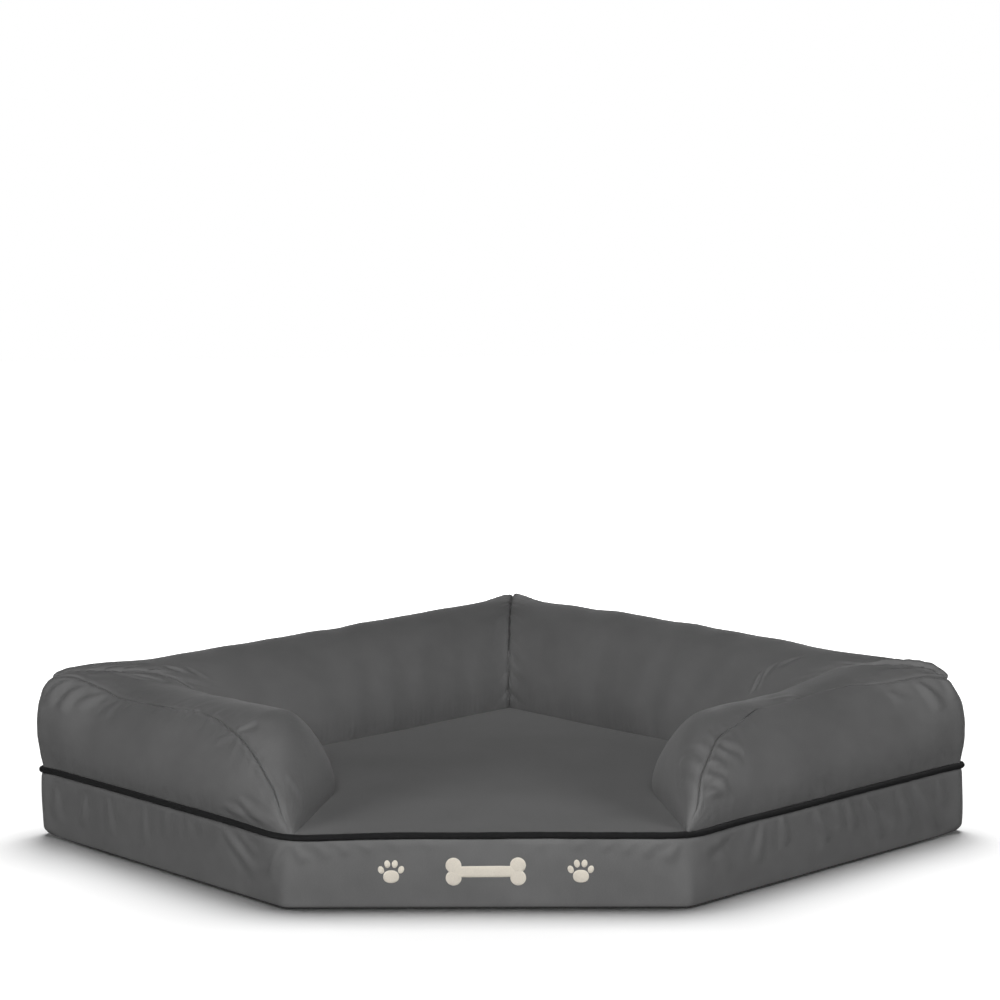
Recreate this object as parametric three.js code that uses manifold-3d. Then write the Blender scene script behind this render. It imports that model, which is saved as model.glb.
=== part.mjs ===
// A corner dog bed: a foam mattress with a square corner plan whose front corner is cut off, and a
// stuffed bolster along each side except the cut one, all inside a zipped fabric cover.
// Millimetres, +Z up. The cut front side faces -Y, the square corner faces +Y.
import * as THREE from 'three';
import { mergeVertices } from 'three/addons/utils/BufferGeometryUtils.js';
import Module from 'manifold-3d';

// ---- driving dimensions ----
const BACK_SIDE = 762; // outer length of each long back side of the base
const CORNER_CUT = 304; // length cut from both sides at the front corner
const BASE_TOP = 80; // top of the sleeping surface
const RIM_TOP = 209; // crest of the bolsters
const BOLSTER_WIDTH = 152; // width of a bolster where it stands on the base
const SUPPORT_THICK = 50; // firm foam slab
const MEMORY_THICK = 25; // soft foam slab
const FABRIC = 1.0; // outer cover cloth, with its coating
const BORDER_FABRIC = 1.2; // the same cloth, with its turned-in edges
const BAG_CLOTH = 0.6; // liner and inner bag cloth
const GAP = 0.3; // clearance between neighbouring pieces
const PIPING_RADIUS = 4;

// ---- plan of the base ----
const HALF_WIDTH = BACK_SIDE / Math.SQRT2; // side corners stand this far left and right
const HALF_FRONT = CORNER_CUT / Math.SQRT2; // half the cut front side
const SHORT_SIDE = BACK_SIDE - CORNER_CUT;
const DEPTH = HALF_FRONT + (2 * SHORT_SIDE) / Math.SQRT2; // front side to back corner
const FRONT_Y = -DEPTH / 2;
const BACK_Y = DEPTH / 2;
const SIDE_Y = BACK_Y - HALF_WIDTH; // where the side corners are
const SHARP_RADIUS = 24; // plan rounding of the square corners
const BLUNT_RADIUS = 70; // plan rounding of the front corners
const FAR = 2000; // reach of a cutting block, past the whole bed

const CORNERS = [
  { at: new THREE.Vector2(-HALF_FRONT, FRONT_Y), radius: BLUNT_RADIUS },
  { at: new THREE.Vector2(HALF_FRONT, FRONT_Y), radius: BLUNT_RADIUS },
  { at: new THREE.Vector2(HALF_WIDTH, SIDE_Y), radius: SHARP_RADIUS },
  { at: new THREE.Vector2(0, BACK_Y), radius: SHARP_RADIUS },
  { at: new THREE.Vector2(-HALF_WIDTH, SIDE_Y), radius: SHARP_RADIUS },
];

// ---- heights of the mattress layers, from the floor up ----
const LINER_LOW = FABRIC + GAP;
const SUPPORT_LOW = LINER_LOW + BAG_CLOTH + GAP;
const MEMORY_LOW = SUPPORT_LOW + SUPPORT_THICK + GAP;
const MEMORY_HIGH = MEMORY_LOW + MEMORY_THICK;
const LINER_HIGH = MEMORY_HIGH + GAP + BAG_CLOTH;
const TOP_PANEL_LOW = LINER_HIGH + GAP;
const PIPING_Z = BASE_TOP - 0.5; // middle of the piping
const BORDER_LOW = FABRIC + GAP;
const BORDER_HIGH = PIPING_Z - PIPING_RADIUS - GAP;

// ---- insets of the mattress layers from the outer face of the border ----
const PIPING_INSET = 0.5; // middle of the piping
const TOP_PANEL_INSET = PIPING_INSET + PIPING_RADIUS + GAP;
const LINER_INSET = 5.5; // room for the zip slider's inner plate
const FOAM_INSET = LINER_INSET + BAG_CLOTH + GAP;
const LINER_SLIT = { length: 420, height: 24, flapLength: 440, flapHeight: 44 };

// ---- bolsters ----
const RIM_LOW = BASE_TOP + GAP;
const SKIN_LOW = PIPING_Z + PIPING_RADIUS + GAP;
const OUTER_BULGE = 5; // how far the outer face stands past the base
const INNER_BULGE = 6; // and the inner face past the bolster's foot
const WIDEST_Z = 134; // height of the widest part
const CREST_POWER = 2.35; // roundness of the crest, 2 is an ellipse
const SEAM_FOOT = 5; // the long seam's plane meets the base this far in
const SEAM_CREST = 40; // and the crest height this far in
const END_RUN = 98; // how far the free end's rounding reaches along X
const END_POWER = 2.3;
const END_LEAN = THREE.MathUtils.degToRad(8); // the free end's foot turns in this much
const RIM_ROUNDING = -6; // the bolsters' outer corners are rounded this much less than the base's
const SKIN_TUCK = 6; // both faces turn in this much from the widest line down to the piping
const BAG_TUCK = 9.5; // the inner bags turn in more, to pass the piping
const BAG_SLIT = { length: 160, width: 4, depth: 6 };
const BAG_INSET = FABRIC + GAP;
const FILL_INSET = BAG_INSET + BAG_CLOTH + GAP;

// ---- zip ----
const ZIP_Z = 40; // height of the zip's middle
const ZIP_HALF_OPENING = 7; // border cloth stops this far from the zip's middle
const TAPE_HALF = 13;
const TAPE_INSET = BORDER_FABRIC + GAP;
const TAPE_THICK = 0.8;
const COIL_NEAR = 0.75; // half the gap between the two rows of teeth
const COIL_FAR = 3.7;
const COIL_PROUD = 0.7; // teeth stand this far out of the border's face
const COIL_INSET = 1.2;
const TEETH_START = 20; // teeth begin this far behind the upright seams
const BORDER_SEAM_Y = SIDE_Y + 14; // upright seams that join the front and back border strips
const SLIDER_START = 58; // slider's place when the zip is closed, from the left corner
const STOP_PLACE = 44; // stop's place from the corner, between the upright seam and the first tooth
const STOP = { length: 5, depth: 2.4, proud: 0.2, overlap: 0.8 };
// The slider's heights are out of the border's face: its bottom plate lies inside the cover.
const SLIDER = {
  length: 15, width: 10.8, plate: 1.1, top: 1.1, flange: 1.1, flangeLow: -1.1,
  bottom: -3.7, post: 0.9, postStart: 1.5, postEnd: 5.5,
  arch: 5.8, archHalf: 5.2, archThick: 1.3, archWidth: 2.2, pinHeight: 3.5,
};
const PULLER = {
  pin: 0.7, arm: 1.0, armInner: 1.8, start: 7, shoulder: 11, end: 33, half: 4.2, thick: 1.2,
};
const BITE = 0.1; // overlap of two solids that are joined

const CLOTH_GREY = 0x565656;
const materials = {
  cloth: new THREE.MeshStandardMaterial({ color: CLOTH_GREY, roughness: 0.85, metalness: 0 }),
  base: new THREE.MeshStandardMaterial({ color: 0x3a3a3c, roughness: 0.95, metalness: 0 }),
  piping: new THREE.MeshStandardMaterial({ color: 0x161617, roughness: 0.7, metalness: 0 }),
  foam: new THREE.MeshStandardMaterial({ color: 0xe9e2cf, roughness: 0.95, metalness: 0 }),
  memory: new THREE.MeshStandardMaterial({ color: 0xcfdce8, roughness: 0.9, metalness: 0 }),
  liner: new THREE.MeshStandardMaterial({ color: 0xd9dadb, roughness: 0.5, metalness: 0 }),
  fill: new THREE.MeshStandardMaterial({ color: 0xf4f3ef, roughness: 1, metalness: 0 }),
  zip: new THREE.MeshStandardMaterial({ color: 0x1b1b1c, roughness: 0.55, metalness: 0 }),
  metal: new THREE.MeshStandardMaterial({ color: 0x2b2b2d, roughness: 0.35, metalness: 1 }),
  thread: new THREE.MeshStandardMaterial({ color: 0xe8e1d2, roughness: 0.6, metalness: 0 }),
};

// ---- solids: three.js geometry in, joined or cut by manifold-3d ----
const wasm = await Module();
wasm.setup();

function solidFrom(geometry, matrix = new THREE.Matrix4()) {
  const plain = geometry.index ? geometry.toNonIndexed() : geometry.clone();
  plain.deleteAttribute('normal');
  plain.deleteAttribute('uv');
  const merged = mergeVertices(plain.applyMatrix4(matrix), 1e-4);
  return new wasm.Manifold(new wasm.Mesh({
    numProp: 3,
    vertProperties: merged.attributes.position.array,
    triVerts: new Uint32Array(merged.index.array),
  }));
}

function geometryFrom(solid) {
  const mesh = solid.getMesh();
  const geometry = new THREE.BufferGeometry();
  geometry.setAttribute('position', new THREE.BufferAttribute(mesh.vertProperties, 3));
  geometry.setIndex(new THREE.BufferAttribute(mesh.triVerts, 1));
  return geometry;
}

function joined(solids) {
  return solids.reduce((sum, solid) => sum.add(solid));
}

function block(x0, x1, y0, y1, z0, z1) {
  const box = new THREE.BoxGeometry(x1 - x0, y1 - y0, z1 - z0);
  box.translate((x0 + x1) / 2, (y0 + y1) / 2, (z0 + z1) / 2);
  return solidFrom(box);
}

// ---- the plan outline, moved inwards by an inset, with rounded corners ----
function outline(inset, extraRadius = 0) {
  const count = CORNERS.length;
  const lines = CORNERS.map(({ at }, i) => {
    const along = CORNERS[(i + 1) % count].at.clone().sub(at).normalize();
    const inwards = new THREE.Vector2(-along.y, along.x);
    return { along, inwards, foot: at.clone().addScaledVector(inwards, inset) };
  });
  const points = [];
  for (let i = 0; i < count; i++) {
    const before = lines[(i + count - 1) % count];
    const after = lines[i];
    const turn = before.along.angleTo(after.along);
    const gap = after.foot.clone().sub(before.foot);
    const reach = gap.cross(after.along) / before.along.cross(after.along);
    const corner = before.foot.clone().addScaledVector(before.along, reach);
    const radius = Math.max(CORNERS[i].radius + extraRadius - inset, 2);
    const start = corner.clone().addScaledVector(before.along, -radius * Math.tan(turn / 2));
    const centre = start.clone().addScaledVector(before.inwards, radius);
    const steps = Math.ceil(turn / THREE.MathUtils.degToRad(11));
    for (let k = 0; k <= steps; k++) {
      const angle = Math.atan2(-before.inwards.y, -before.inwards.x) + (turn * k) / steps;
      points.push(new THREE.Vector2(
        centre.x + radius * Math.cos(angle), centre.y + radius * Math.sin(angle)));
    }
  }
  return points;
}

function slab(inset, low, high) {
  const shape = new THREE.Shape(outline(inset));
  const geometry = new THREE.ExtrudeGeometry(shape, { depth: high - low, bevelEnabled: false });
  return solidFrom(geometry.translate(0, 0, low));
}

// A closed solid through level outlines that have the same number of points, from the lowest up.
function lofted(levels) {
  const count = levels[0].points.length;
  const top = (levels.length - 1) * count;
  const faces = [];
  for (let start = 0; start < top; start += count) {
    for (let i = 0; i < count; i++) {
      const a = start + i;
      const b = start + ((i + 1) % count);
      faces.push(a, b, b + count, a, b + count, a + count);
    }
  }
  for (const [a, b, c] of THREE.ShapeUtils.triangulateShape(levels[0].points, [])) {
    faces.push(c, b, a, top + a, top + b, top + c);
  }
  const corners = levels.flatMap(({ points, z }) => points.flatMap(({ x, y }) => [x, y, z]));
  const geometry = new THREE.BufferGeometry();
  geometry.setAttribute('position', new THREE.Float32BufferAttribute(corners, 3));
  return solidFrom(geometry.setIndex(faces));
}

function ring(outerInset, innerInset, low, high) {
  return slab(outerInset, low, high).subtract(slab(innerInset, low - 1, high + 1));
}

// ---- mattress ----
function linerBody() {
  const through = 10;
  const shell = slab(LINER_INSET, LINER_LOW, LINER_HIGH)
    .subtract(slab(LINER_INSET + BAG_CLOTH, LINER_LOW + BAG_CLOTH, LINER_HIGH - BAG_CLOTH));
  const slit = new THREE.BoxGeometry(LINER_SLIT.length, through, LINER_SLIT.height);
  return shell.subtract(onSide('back_right', slit.translate(BACK_SIDE / 2, -LINER_INSET, ZIP_Z)));
}

function linerFlap() {
  const flap = new THREE.BoxGeometry(LINER_SLIT.flapLength, BAG_CLOTH, LINER_SLIT.flapHeight);
  return onSide('back_right', flap.translate(BACK_SIDE / 2, -LINER_INSET + GAP + BAG_CLOTH / 2, ZIP_Z));
}

function pipingRing() {
  const core = 0.1; // half width of the flat strip that the round bevels grow from
  const shape = new THREE.Shape(outline(PIPING_INSET - core));
  shape.holes.push(new THREE.Path(outline(PIPING_INSET + core).reverse()));
  const bevel = PIPING_RADIUS - core;
  const geometry = new THREE.ExtrudeGeometry(shape, {
    depth: 2 * core, bevelEnabled: true, bevelThickness: bevel, bevelSize: bevel, bevelSegments: 3,
  });
  return solidFrom(geometry.translate(0, 0, PIPING_Z - core));
}

// ---- places on a side: local +X along the side, local +Y out of it, from its left-hand corner ----
const SIDES = {
  back_left: { from: new THREE.Vector2(-HALF_WIDTH, SIDE_Y), turn: Math.PI / 4 },
  back_right: { from: new THREE.Vector2(0, BACK_Y), turn: -Math.PI / 4 },
  front_left: { from: new THREE.Vector2(-HALF_FRONT, FRONT_Y), turn: (3 * Math.PI) / 4 },
  front_right: { from: new THREE.Vector2(HALF_WIDTH, SIDE_Y), turn: (-3 * Math.PI) / 4 },
};

function sideMatrix(name) {
  const { from, turn } = SIDES[name];
  return new THREE.Matrix4().makeRotationZ(turn).setPosition(from.x, from.y, 0);
}

function onSide(name, geometry) {
  return solidFrom(geometry, sideMatrix(name));
}

// A prism along a side from a section of (distance inwards, height) points.
function alongSide(name, section) {
  const shape = new THREE.Shape(section.map(([inwards, z]) => new THREE.Vector2(inwards, z)));
  const overrun = 300;
  const length = BACK_SIDE + 2 * overrun;
  const geometry = new THREE.ExtrudeGeometry(shape, { depth: length, bevelEnabled: false });
  const axes = new THREE.Matrix4().makeBasis(
    new THREE.Vector3(0, -1, 0), new THREE.Vector3(0, 0, 1), new THREE.Vector3(-1, 0, 0));
  geometry.applyMatrix4(axes).translate(length - overrun, 0, 0);
  return solidFrom(geometry, sideMatrix(name));
}

// ---- bolsters ----
// Both faces of a bolster turn in from the widest line down to the piping, by tuck at the piping.
function tuckedBy(tuck, z) {
  return tuck * Math.max((WIDEST_Z - z) / (WIDEST_Z - SKIN_LOW), 0) ** 2;
}

function footHeights(low) {
  const steps = 4;
  return Array.from({ length: steps }, (_, k) => low + ((WIDEST_Z - low) * k) / steps);
}

// Section of a bolster as (distance inwards, height) points: crest, outer face, inner face.
function bolsterSection(inset, low, tuck) {
  const outer = -OUTER_BULGE + inset;
  const inner = BOLSTER_WIDTH + INNER_BULGE - inset;
  const middle = (outer + inner) / 2;
  const halfWidth = (inner - outer) / 2;
  const rise = RIM_TOP - inset - WIDEST_Z;
  const points = [];
  const crestSteps = 20;
  for (let k = 0; k <= crestSteps; k++) {
    const angle = (Math.PI * k) / crestSteps;
    const across = Math.sign(Math.cos(angle)) * Math.abs(Math.cos(angle)) ** (2 / CREST_POWER);
    points.push([middle + halfWidth * across, WIDEST_Z + rise * Math.sin(angle) ** (2 / CREST_POWER)]);
  }
  points.push([outer, low]);
  for (const z of footHeights(low)) {
    points.push([inner - tuckedBy(tuck, z), z]);
  }
  return points;
}

// The room inside the bolsters' outer face, which follows the plan round the corners.
function outerFaceRoom(inset, low, tuck) {
  const level = (z) => ({ points: outline(inset + tuckedBy(tuck, z), RIM_ROUNDING), z });
  return lofted([...footHeights(low), WIDEST_Z, RIM_TOP + 1].map(level));
}

// The room left of a bolster's free end: its edge rises in a quarter round and leans in.
function freeEnd(mirror, inset) {
  const footX = -HALF_FRONT - inset;
  const run = END_RUN;
  const rise = RIM_TOP - inset - RIM_LOW;
  const steps = 12;
  const edge = [];
  for (let k = 0; k <= steps; k++) {
    const angle = ((Math.PI / 2) * k) / steps;
    edge.push(new THREE.Vector2(
      footX - run + run * Math.cos(angle) ** (2 / END_POWER),
      RIM_LOW + rise * Math.sin(angle) ** (2 / END_POWER)));
  }
  const shape = new THREE.Shape([
    new THREE.Vector2(-FAR, -FAR), new THREE.Vector2(footX, -FAR), ...edge,
    new THREE.Vector2(-FAR, RIM_TOP - inset)]);
  const geometry = new THREE.ExtrudeGeometry(shape, { depth: 2 * FAR, bevelEnabled: false });
  geometry.rotateX(Math.PI / 2).translate(0, FAR, 0);
  geometry.translate(HALF_FRONT, -FRONT_Y, 0).rotateZ(-END_LEAN).translate(-HALF_FRONT, FRONT_Y, 0);
  return solidFrom(mirror > 0 ? geometry : mirrored(geometry));
}

function mirrored(geometry) {
  const copy = geometry.index ? geometry.toNonIndexed() : geometry.clone();
  copy.applyMatrix4(new THREE.Matrix4().makeScale(-1, 1, 1));
  const position = copy.attributes.position;
  for (let i = 0; i < position.count; i += 3) {
    for (const axis of ['X', 'Y', 'Z']) {
      const second = position[`get${axis}`](i + 1);
      position[`set${axis}`](i + 1, position[`get${axis}`](i + 2));
      position[`set${axis}`](i + 2, second);
    }
  }
  return copy;
}

// The part of the plan that belongs to one bolster, up to its mitred corners.
function wedge(name, gap) {
  const left = name.endsWith('left');
  const [x0, x1] = left ? [-FAR, -gap] : [gap, FAR];
  const [y0, y1] = name.startsWith('back') ? [SIDE_Y + gap, FAR] : [-FAR, SIDE_Y - gap];
  return block(x0, x1, y0, y1, -FAR, FAR);
}

const BOLSTERS = ['front_left', 'back_left', 'back_right', 'front_right'];

function bolster(name, inset, low, mitreGap, tuck) {
  let body = alongSide(name, bolsterSection(inset, low, tuck)).intersect(wedge(name, mitreGap));
  if (name.startsWith('front')) {
    body = body.intersect(freeEnd(name.endsWith('left') ? 1 : -1, inset));
  }
  return body.intersect(outerFaceRoom(-OUTER_BULGE + inset, low, tuck));
}

function rimSkin() {
  const below = SKIN_LOW - 20;
  const outside = joined(BOLSTERS.map((name) => bolster(name, 0, SKIN_LOW, 0, SKIN_TUCK)));
  const inside = joined(BOLSTERS.map((name) => bolster(name, FABRIC, below, 0, SKIN_TUCK)));
  return outside.subtract(inside);
}

// The room inside the long seam, which climbs from the bolsters' outer foot up to their crest.
function seamRoom(gap) {
  const lean = (SEAM_CREST - SEAM_FOOT) / (RIM_TOP - SKIN_LOW);
  const level = (z) => ({
    points: outline(SEAM_FOOT + gap + lean * (z - SKIN_LOW), RIM_ROUNDING), z,
  });
  return lofted([SKIN_LOW - 5, RIM_TOP + 5].map(level));
}

// One strip of cloth up the outside, round the side corner and on to the back corner.
function outerPanel(skin, hand) {
  const [x0, x1] = hand === 'left' ? [-FAR, -GAP / 2] : [GAP / 2, FAR];
  return skin.subtract(seamRoom(0)).intersect(block(x0, x1, -FAR, FAR, -FAR, FAR));
}

function innerPanel(skin, name) {
  return skin.intersect(seamRoom(GAP)).intersect(wedge(name, GAP / 2));
}

function bolsterBag(name) {
  const low = RIM_LOW + GAP;
  const shell = bolster(name, BAG_INSET, low, GAP, BAG_TUCK)
    .subtract(bolster(name, BAG_INSET + BAG_CLOTH, low + BAG_CLOTH, GAP + BAG_CLOTH, BAG_TUCK));
  const slit = new THREE.BoxGeometry(BAG_SLIT.length, BAG_SLIT.width, BAG_SLIT.depth)
    .translate(SHORT_SIDE / 2, -BOLSTER_WIDTH / 2, low);
  return shell.subtract(onSide(name, slit));
}

function bolsterFill(name) {
  return bolster(name, FILL_INSET, RIM_LOW + 2 * GAP + BAG_CLOTH, 2 * GAP + BAG_CLOTH, BAG_TUCK);
}

// ---- zip: runs round the back of the border, from one upright seam to the other ----
function backStrip(outerInset, innerInset, low, high) {
  return ring(outerInset, innerInset, low, high)
    .intersect(block(-FAR, FAR, BORDER_SEAM_Y + GAP / 2, FAR, -FAR, FAR));
}

function zipTape(up) {
  const [low, high] = up ? [COIL_NEAR, TAPE_HALF] : [-TAPE_HALF, -COIL_NEAR];
  return backStrip(TAPE_INSET, TAPE_INSET + TAPE_THICK, ZIP_Z + low, ZIP_Z + high);
}

function zipCoil(up) {
  const [low, high] = up ? [COIL_NEAR, COIL_FAR] : [-COIL_FAR, -COIL_NEAR];
  return backStrip(-COIL_PROUD, COIL_INSET, ZIP_Z + low, ZIP_Z + high)
    .intersect(block(-FAR, FAR, BORDER_SEAM_Y + TEETH_START, FAR, -FAR, FAR));
}

function zipStop() {
  const height = 2 * (COIL_FAR + STOP.overlap);
  return new THREE.BoxGeometry(STOP.length, STOP.depth, height).translate(0, STOP.proud, 0);
}

function sliderBody() {
  const { length, width, plate, top, flange, flangeLow, bottom, postStart, postEnd } = SLIDER;
  const half = width / 2;
  const archHalf = SLIDER.archWidth / 2;
  const postHalf = SLIDER.post / 2;
  const legIn = SLIDER.archHalf - SLIDER.archThick / 2;
  const legOut = SLIDER.archHalf + SLIDER.archThick / 2;
  return joined([
    block(-length / 2, length / 2, top, top + plate, -half, half),
    block(-length / 2, length / 2, bottom, bottom + plate, -half, half),
    block(postStart, postEnd, bottom + BITE, top + BITE, -postHalf, postHalf),
    block(-length / 2, length / 2, flangeLow, top + BITE, -half, -half + flange),
    block(-length / 2, length / 2, flangeLow, top + BITE, half - flange, half),
    block(-legOut, legOut, SLIDER.arch - SLIDER.archThick, SLIDER.arch, -archHalf, archHalf),
    block(-legOut, -legIn, top + BITE, SLIDER.arch, -archHalf, archHalf),
    block(legIn, legOut, top + BITE, SLIDER.arch, -archHalf, archHalf),
  ]);
}

function pullerBody() {
  const { pin, arm, armInner, start, shoulder, end, half, thick } = PULLER;
  const armOuter = armInner + arm;
  const pastPin = pin / 3;
  const round = new THREE.CylinderGeometry(pin, pin, 2 * armOuter, 12).rotateX(Math.PI / 2);
  const tag = new THREE.Shape();
  tag.moveTo(-start, -armOuter);
  tag.lineTo(-start, armOuter);
  tag.lineTo(-shoulder, half);
  tag.lineTo(-end + half, half);
  tag.absarc(-end + half, 0, half, Math.PI / 2, (3 * Math.PI) / 2, false);
  tag.lineTo(-shoulder, -half);
  const plate = new THREE.ExtrudeGeometry(tag, { depth: thick, bevelEnabled: false, curveSegments: 8 });
  plate.translate(0, 0, -thick / 2).rotateX(Math.PI / 2);
  return joined([
    solidFrom(round),
    solidFrom(plate),
    block(-start - 1, pastPin, -thick / 2, thick / 2, armInner, armOuter),
    block(-start - 1, pastPin, -thick / 2, thick / 2, -armOuter, -armInner),
  ]);
}

// ---- trim: the motif on the front, and the label at the back ----
const MOTIF_Z = 41;
const MOTIF_THICK = 0.8;
const BONE = { half: 34, knob: 8.5, knobSpread: 6.8, shaft: 6 };
const PAW_RADIUS = 15;
const LABEL = { width: 30, height: 20, thick: 0.8, along: 600, lift: 1 };
const PAW_X = 100;

function boneShape() {
  const { half, knob, knobSpread, shaft } = BONE;
  const bar = new THREE.BoxGeometry(2 * half, MOTIF_THICK, 2 * shaft);
  const knobs = [];
  for (const x of [-half, half]) {
    for (const z of [-knobSpread, knobSpread]) {
      const disc = new THREE.CylinderGeometry(knob, knob, MOTIF_THICK, 20);
      knobs.push(solidFrom(disc.translate(x, 0, z)));
    }
  }
  return joined([solidFrom(bar), ...knobs]);
}

// ---- assembly ----
const bed = new THREE.Group();
bed.name = 'corner_dog_bed';

function add(name, solid, material, parent = bed) {
  const geometry = solid.isBufferGeometry ? solid : geometryFrom(solid);
  const mesh = new THREE.Mesh(geometry, material);
  mesh.name = name;
  parent.add(mesh);
  return mesh;
}

function sideGroup(name, along, outwards, z) {
  const group = new THREE.Group();
  const { from, turn } = SIDES[name];
  group.position.set(
    from.x + along * Math.cos(turn) - outwards * Math.sin(turn),
    from.y + along * Math.sin(turn) + outwards * Math.cos(turn), z);
  group.rotation.z = turn;
  bed.add(group);
  return group;
}

add('support_foam', slab(FOAM_INSET, SUPPORT_LOW, SUPPORT_LOW + SUPPORT_THICK), materials.foam);
add('memory_foam', slab(FOAM_INSET, MEMORY_LOW, MEMORY_HIGH), materials.memory);
add('foam_liner', linerBody(), materials.liner);
add('liner_flap', linerFlap(), materials.liner);
add('cover_bottom_panel', slab(0, 0, FABRIC), materials.base);
add('cover_top_panel', slab(TOP_PANEL_INSET, TOP_PANEL_LOW, BASE_TOP), materials.cloth);
add('border_front', ring(0, BORDER_FABRIC, BORDER_LOW, BORDER_HIGH)
  .intersect(block(-FAR, FAR, -FAR, BORDER_SEAM_Y - GAP / 2, -FAR, FAR)), materials.cloth);
add('border_back_lower',
  backStrip(0, BORDER_FABRIC, BORDER_LOW, ZIP_Z - ZIP_HALF_OPENING), materials.cloth);
add('border_back_upper',
  backStrip(0, BORDER_FABRIC, ZIP_Z + ZIP_HALF_OPENING, BORDER_HIGH), materials.cloth);
add('piping', pipingRing(), materials.piping);

const skin = rimSkin();
for (const hand of ['left', 'right']) {
  add(`rim_outer_panel_${hand}`, outerPanel(skin, hand), materials.cloth);
}
for (const name of BOLSTERS) {
  add(`rim_inner_panel_${name}`, innerPanel(skin, name), materials.cloth);
  add(`bolster_bag_${name}`, bolsterBag(name), materials.liner);
  add(`bolster_fill_${name}`, bolsterFill(name), materials.fill);
}

add('zip_tape_upper', zipTape(true), materials.zip);
add('zip_tape_lower', zipTape(false), materials.zip);
add('zip_coil_upper', zipCoil(true), materials.zip);
add('zip_coil_lower', zipCoil(false), materials.zip);
add('zip_stop_left', zipStop(), materials.zip, sideGroup('back_left', STOP_PLACE, 0, ZIP_Z));
add('zip_stop_right', zipStop(), materials.zip, sideGroup('back_right', BACK_SIDE - STOP_PLACE, 0, ZIP_Z));
const slider = sideGroup('back_left', SLIDER_START, 0, ZIP_Z);
add('zip_slider', sliderBody(), materials.metal, slider);
const puller = new THREE.Group();
puller.position.y = SLIDER.pinHeight;
slider.add(puller);
add('zip_puller', pullerBody(), materials.metal, puller);

const front = new THREE.Group();
front.position.set(0, FRONT_Y - GAP - MOTIF_THICK / 2, MOTIF_Z);
bed.add(front);
add('embroidered_bone', boneShape(), materials.thread, front);
for (const [name, x] of [['embroidered_paw_left', -PAW_X], ['embroidered_paw_right', PAW_X]]) {
  const disc = new THREE.CylinderGeometry(PAW_RADIUS, PAW_RADIUS, MOTIF_THICK, 28);
  add(name, solidFrom(disc.translate(x, 0, 0)), materials.thread, front);
}
add('care_label', new THREE.BoxGeometry(LABEL.width, LABEL.thick, LABEL.height), materials.liner,
  sideGroup('back_right', LABEL.along, GAP + LABEL.thick / 2, BORDER_LOW + LABEL.lift + LABEL.height / 2));

// The origin is the middle of the footprint, at floor level.
const bounds = new THREE.Box3().setFromObject(bed);
bed.position.y = -(bounds.min.y + bounds.max.y) / 2;

export default bed;
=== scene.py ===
import math

import bmesh
import bpy
import numpy as np
from mathutils import Matrix, Vector


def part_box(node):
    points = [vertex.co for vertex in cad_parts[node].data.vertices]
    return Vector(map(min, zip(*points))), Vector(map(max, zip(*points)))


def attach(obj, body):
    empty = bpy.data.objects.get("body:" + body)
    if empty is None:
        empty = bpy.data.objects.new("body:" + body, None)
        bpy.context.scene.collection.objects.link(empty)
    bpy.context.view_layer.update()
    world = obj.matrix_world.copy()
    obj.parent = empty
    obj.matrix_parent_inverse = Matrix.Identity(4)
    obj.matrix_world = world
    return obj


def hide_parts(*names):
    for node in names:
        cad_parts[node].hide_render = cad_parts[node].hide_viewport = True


# A corner dog bed: a foam mattress with a cut front corner and a stuffed rim on the other four sides.
# Metres, +Z up, the cut side faces -Y. Along the plan's outline everything runs counter-clockwise.

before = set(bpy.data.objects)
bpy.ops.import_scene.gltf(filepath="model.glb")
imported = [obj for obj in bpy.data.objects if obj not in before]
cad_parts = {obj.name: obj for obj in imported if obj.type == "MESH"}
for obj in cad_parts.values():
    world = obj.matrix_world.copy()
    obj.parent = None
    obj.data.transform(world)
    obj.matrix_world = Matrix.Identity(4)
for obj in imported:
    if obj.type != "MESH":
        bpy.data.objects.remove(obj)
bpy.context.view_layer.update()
MM = 0.001
CLOTH_THICKNESS = 1 * MM
FLOAT_SLACK = 1e-12  # a place at the join of two parts of an outline counts for both

# ---- driving dimensions ----
BACK_SIDE = 0.762  # each long back side of the base, corner to corner
CORNER_CUT = 0.304  # cut from both sides at the front corner
RIM_WIDTH = 0.152  # a bolster where it stands on the base
SHARP_RADIUS = 9 * MM
BLUNT_RADIUS = 75 * MM
FRONT_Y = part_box("cover_bottom_panel")[0].y
BASE_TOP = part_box("cover_top_panel")[1].z
PIPING_LOW, PIPING_HIGH = (corner.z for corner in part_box("piping"))
PIPING_Z = (PIPING_LOW + PIPING_HIGH) / 2
PIPING_RADIUS = (PIPING_HIGH - PIPING_LOW) / 2
ZIP_Z = (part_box("border_back_lower")[1].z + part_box("border_back_upper")[0].z) / 2
ZIP_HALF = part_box("border_back_upper")[0].z - ZIP_Z
BORDER_SEAM_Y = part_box("border_back_lower")[0].y

HALF_WIDTH = BACK_SIDE / math.sqrt(2)
HALF_FRONT = CORNER_CUT / math.sqrt(2)
SHORT_SIDE = BACK_SIDE - CORNER_CUT
SIDE_Y = FRONT_Y + SHORT_SIDE / math.sqrt(2)
BACK_Y = SIDE_Y + HALF_WIDTH


# ---- camera ----
SENSOR_WIDTH, LENS = 36, 99.65  # millimetres
CAMERA_RIGHT, CAMERA_BEFORE, CAMERA_HEIGHT = 0.1466, 2.8427, 0.8082  # metres, from the front's middle
CAMERA_TURN, CAMERA_TILT, CAMERA_ROLL = (math.radians(angle) for angle in (2.54, -7.45, 0.81))


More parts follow.
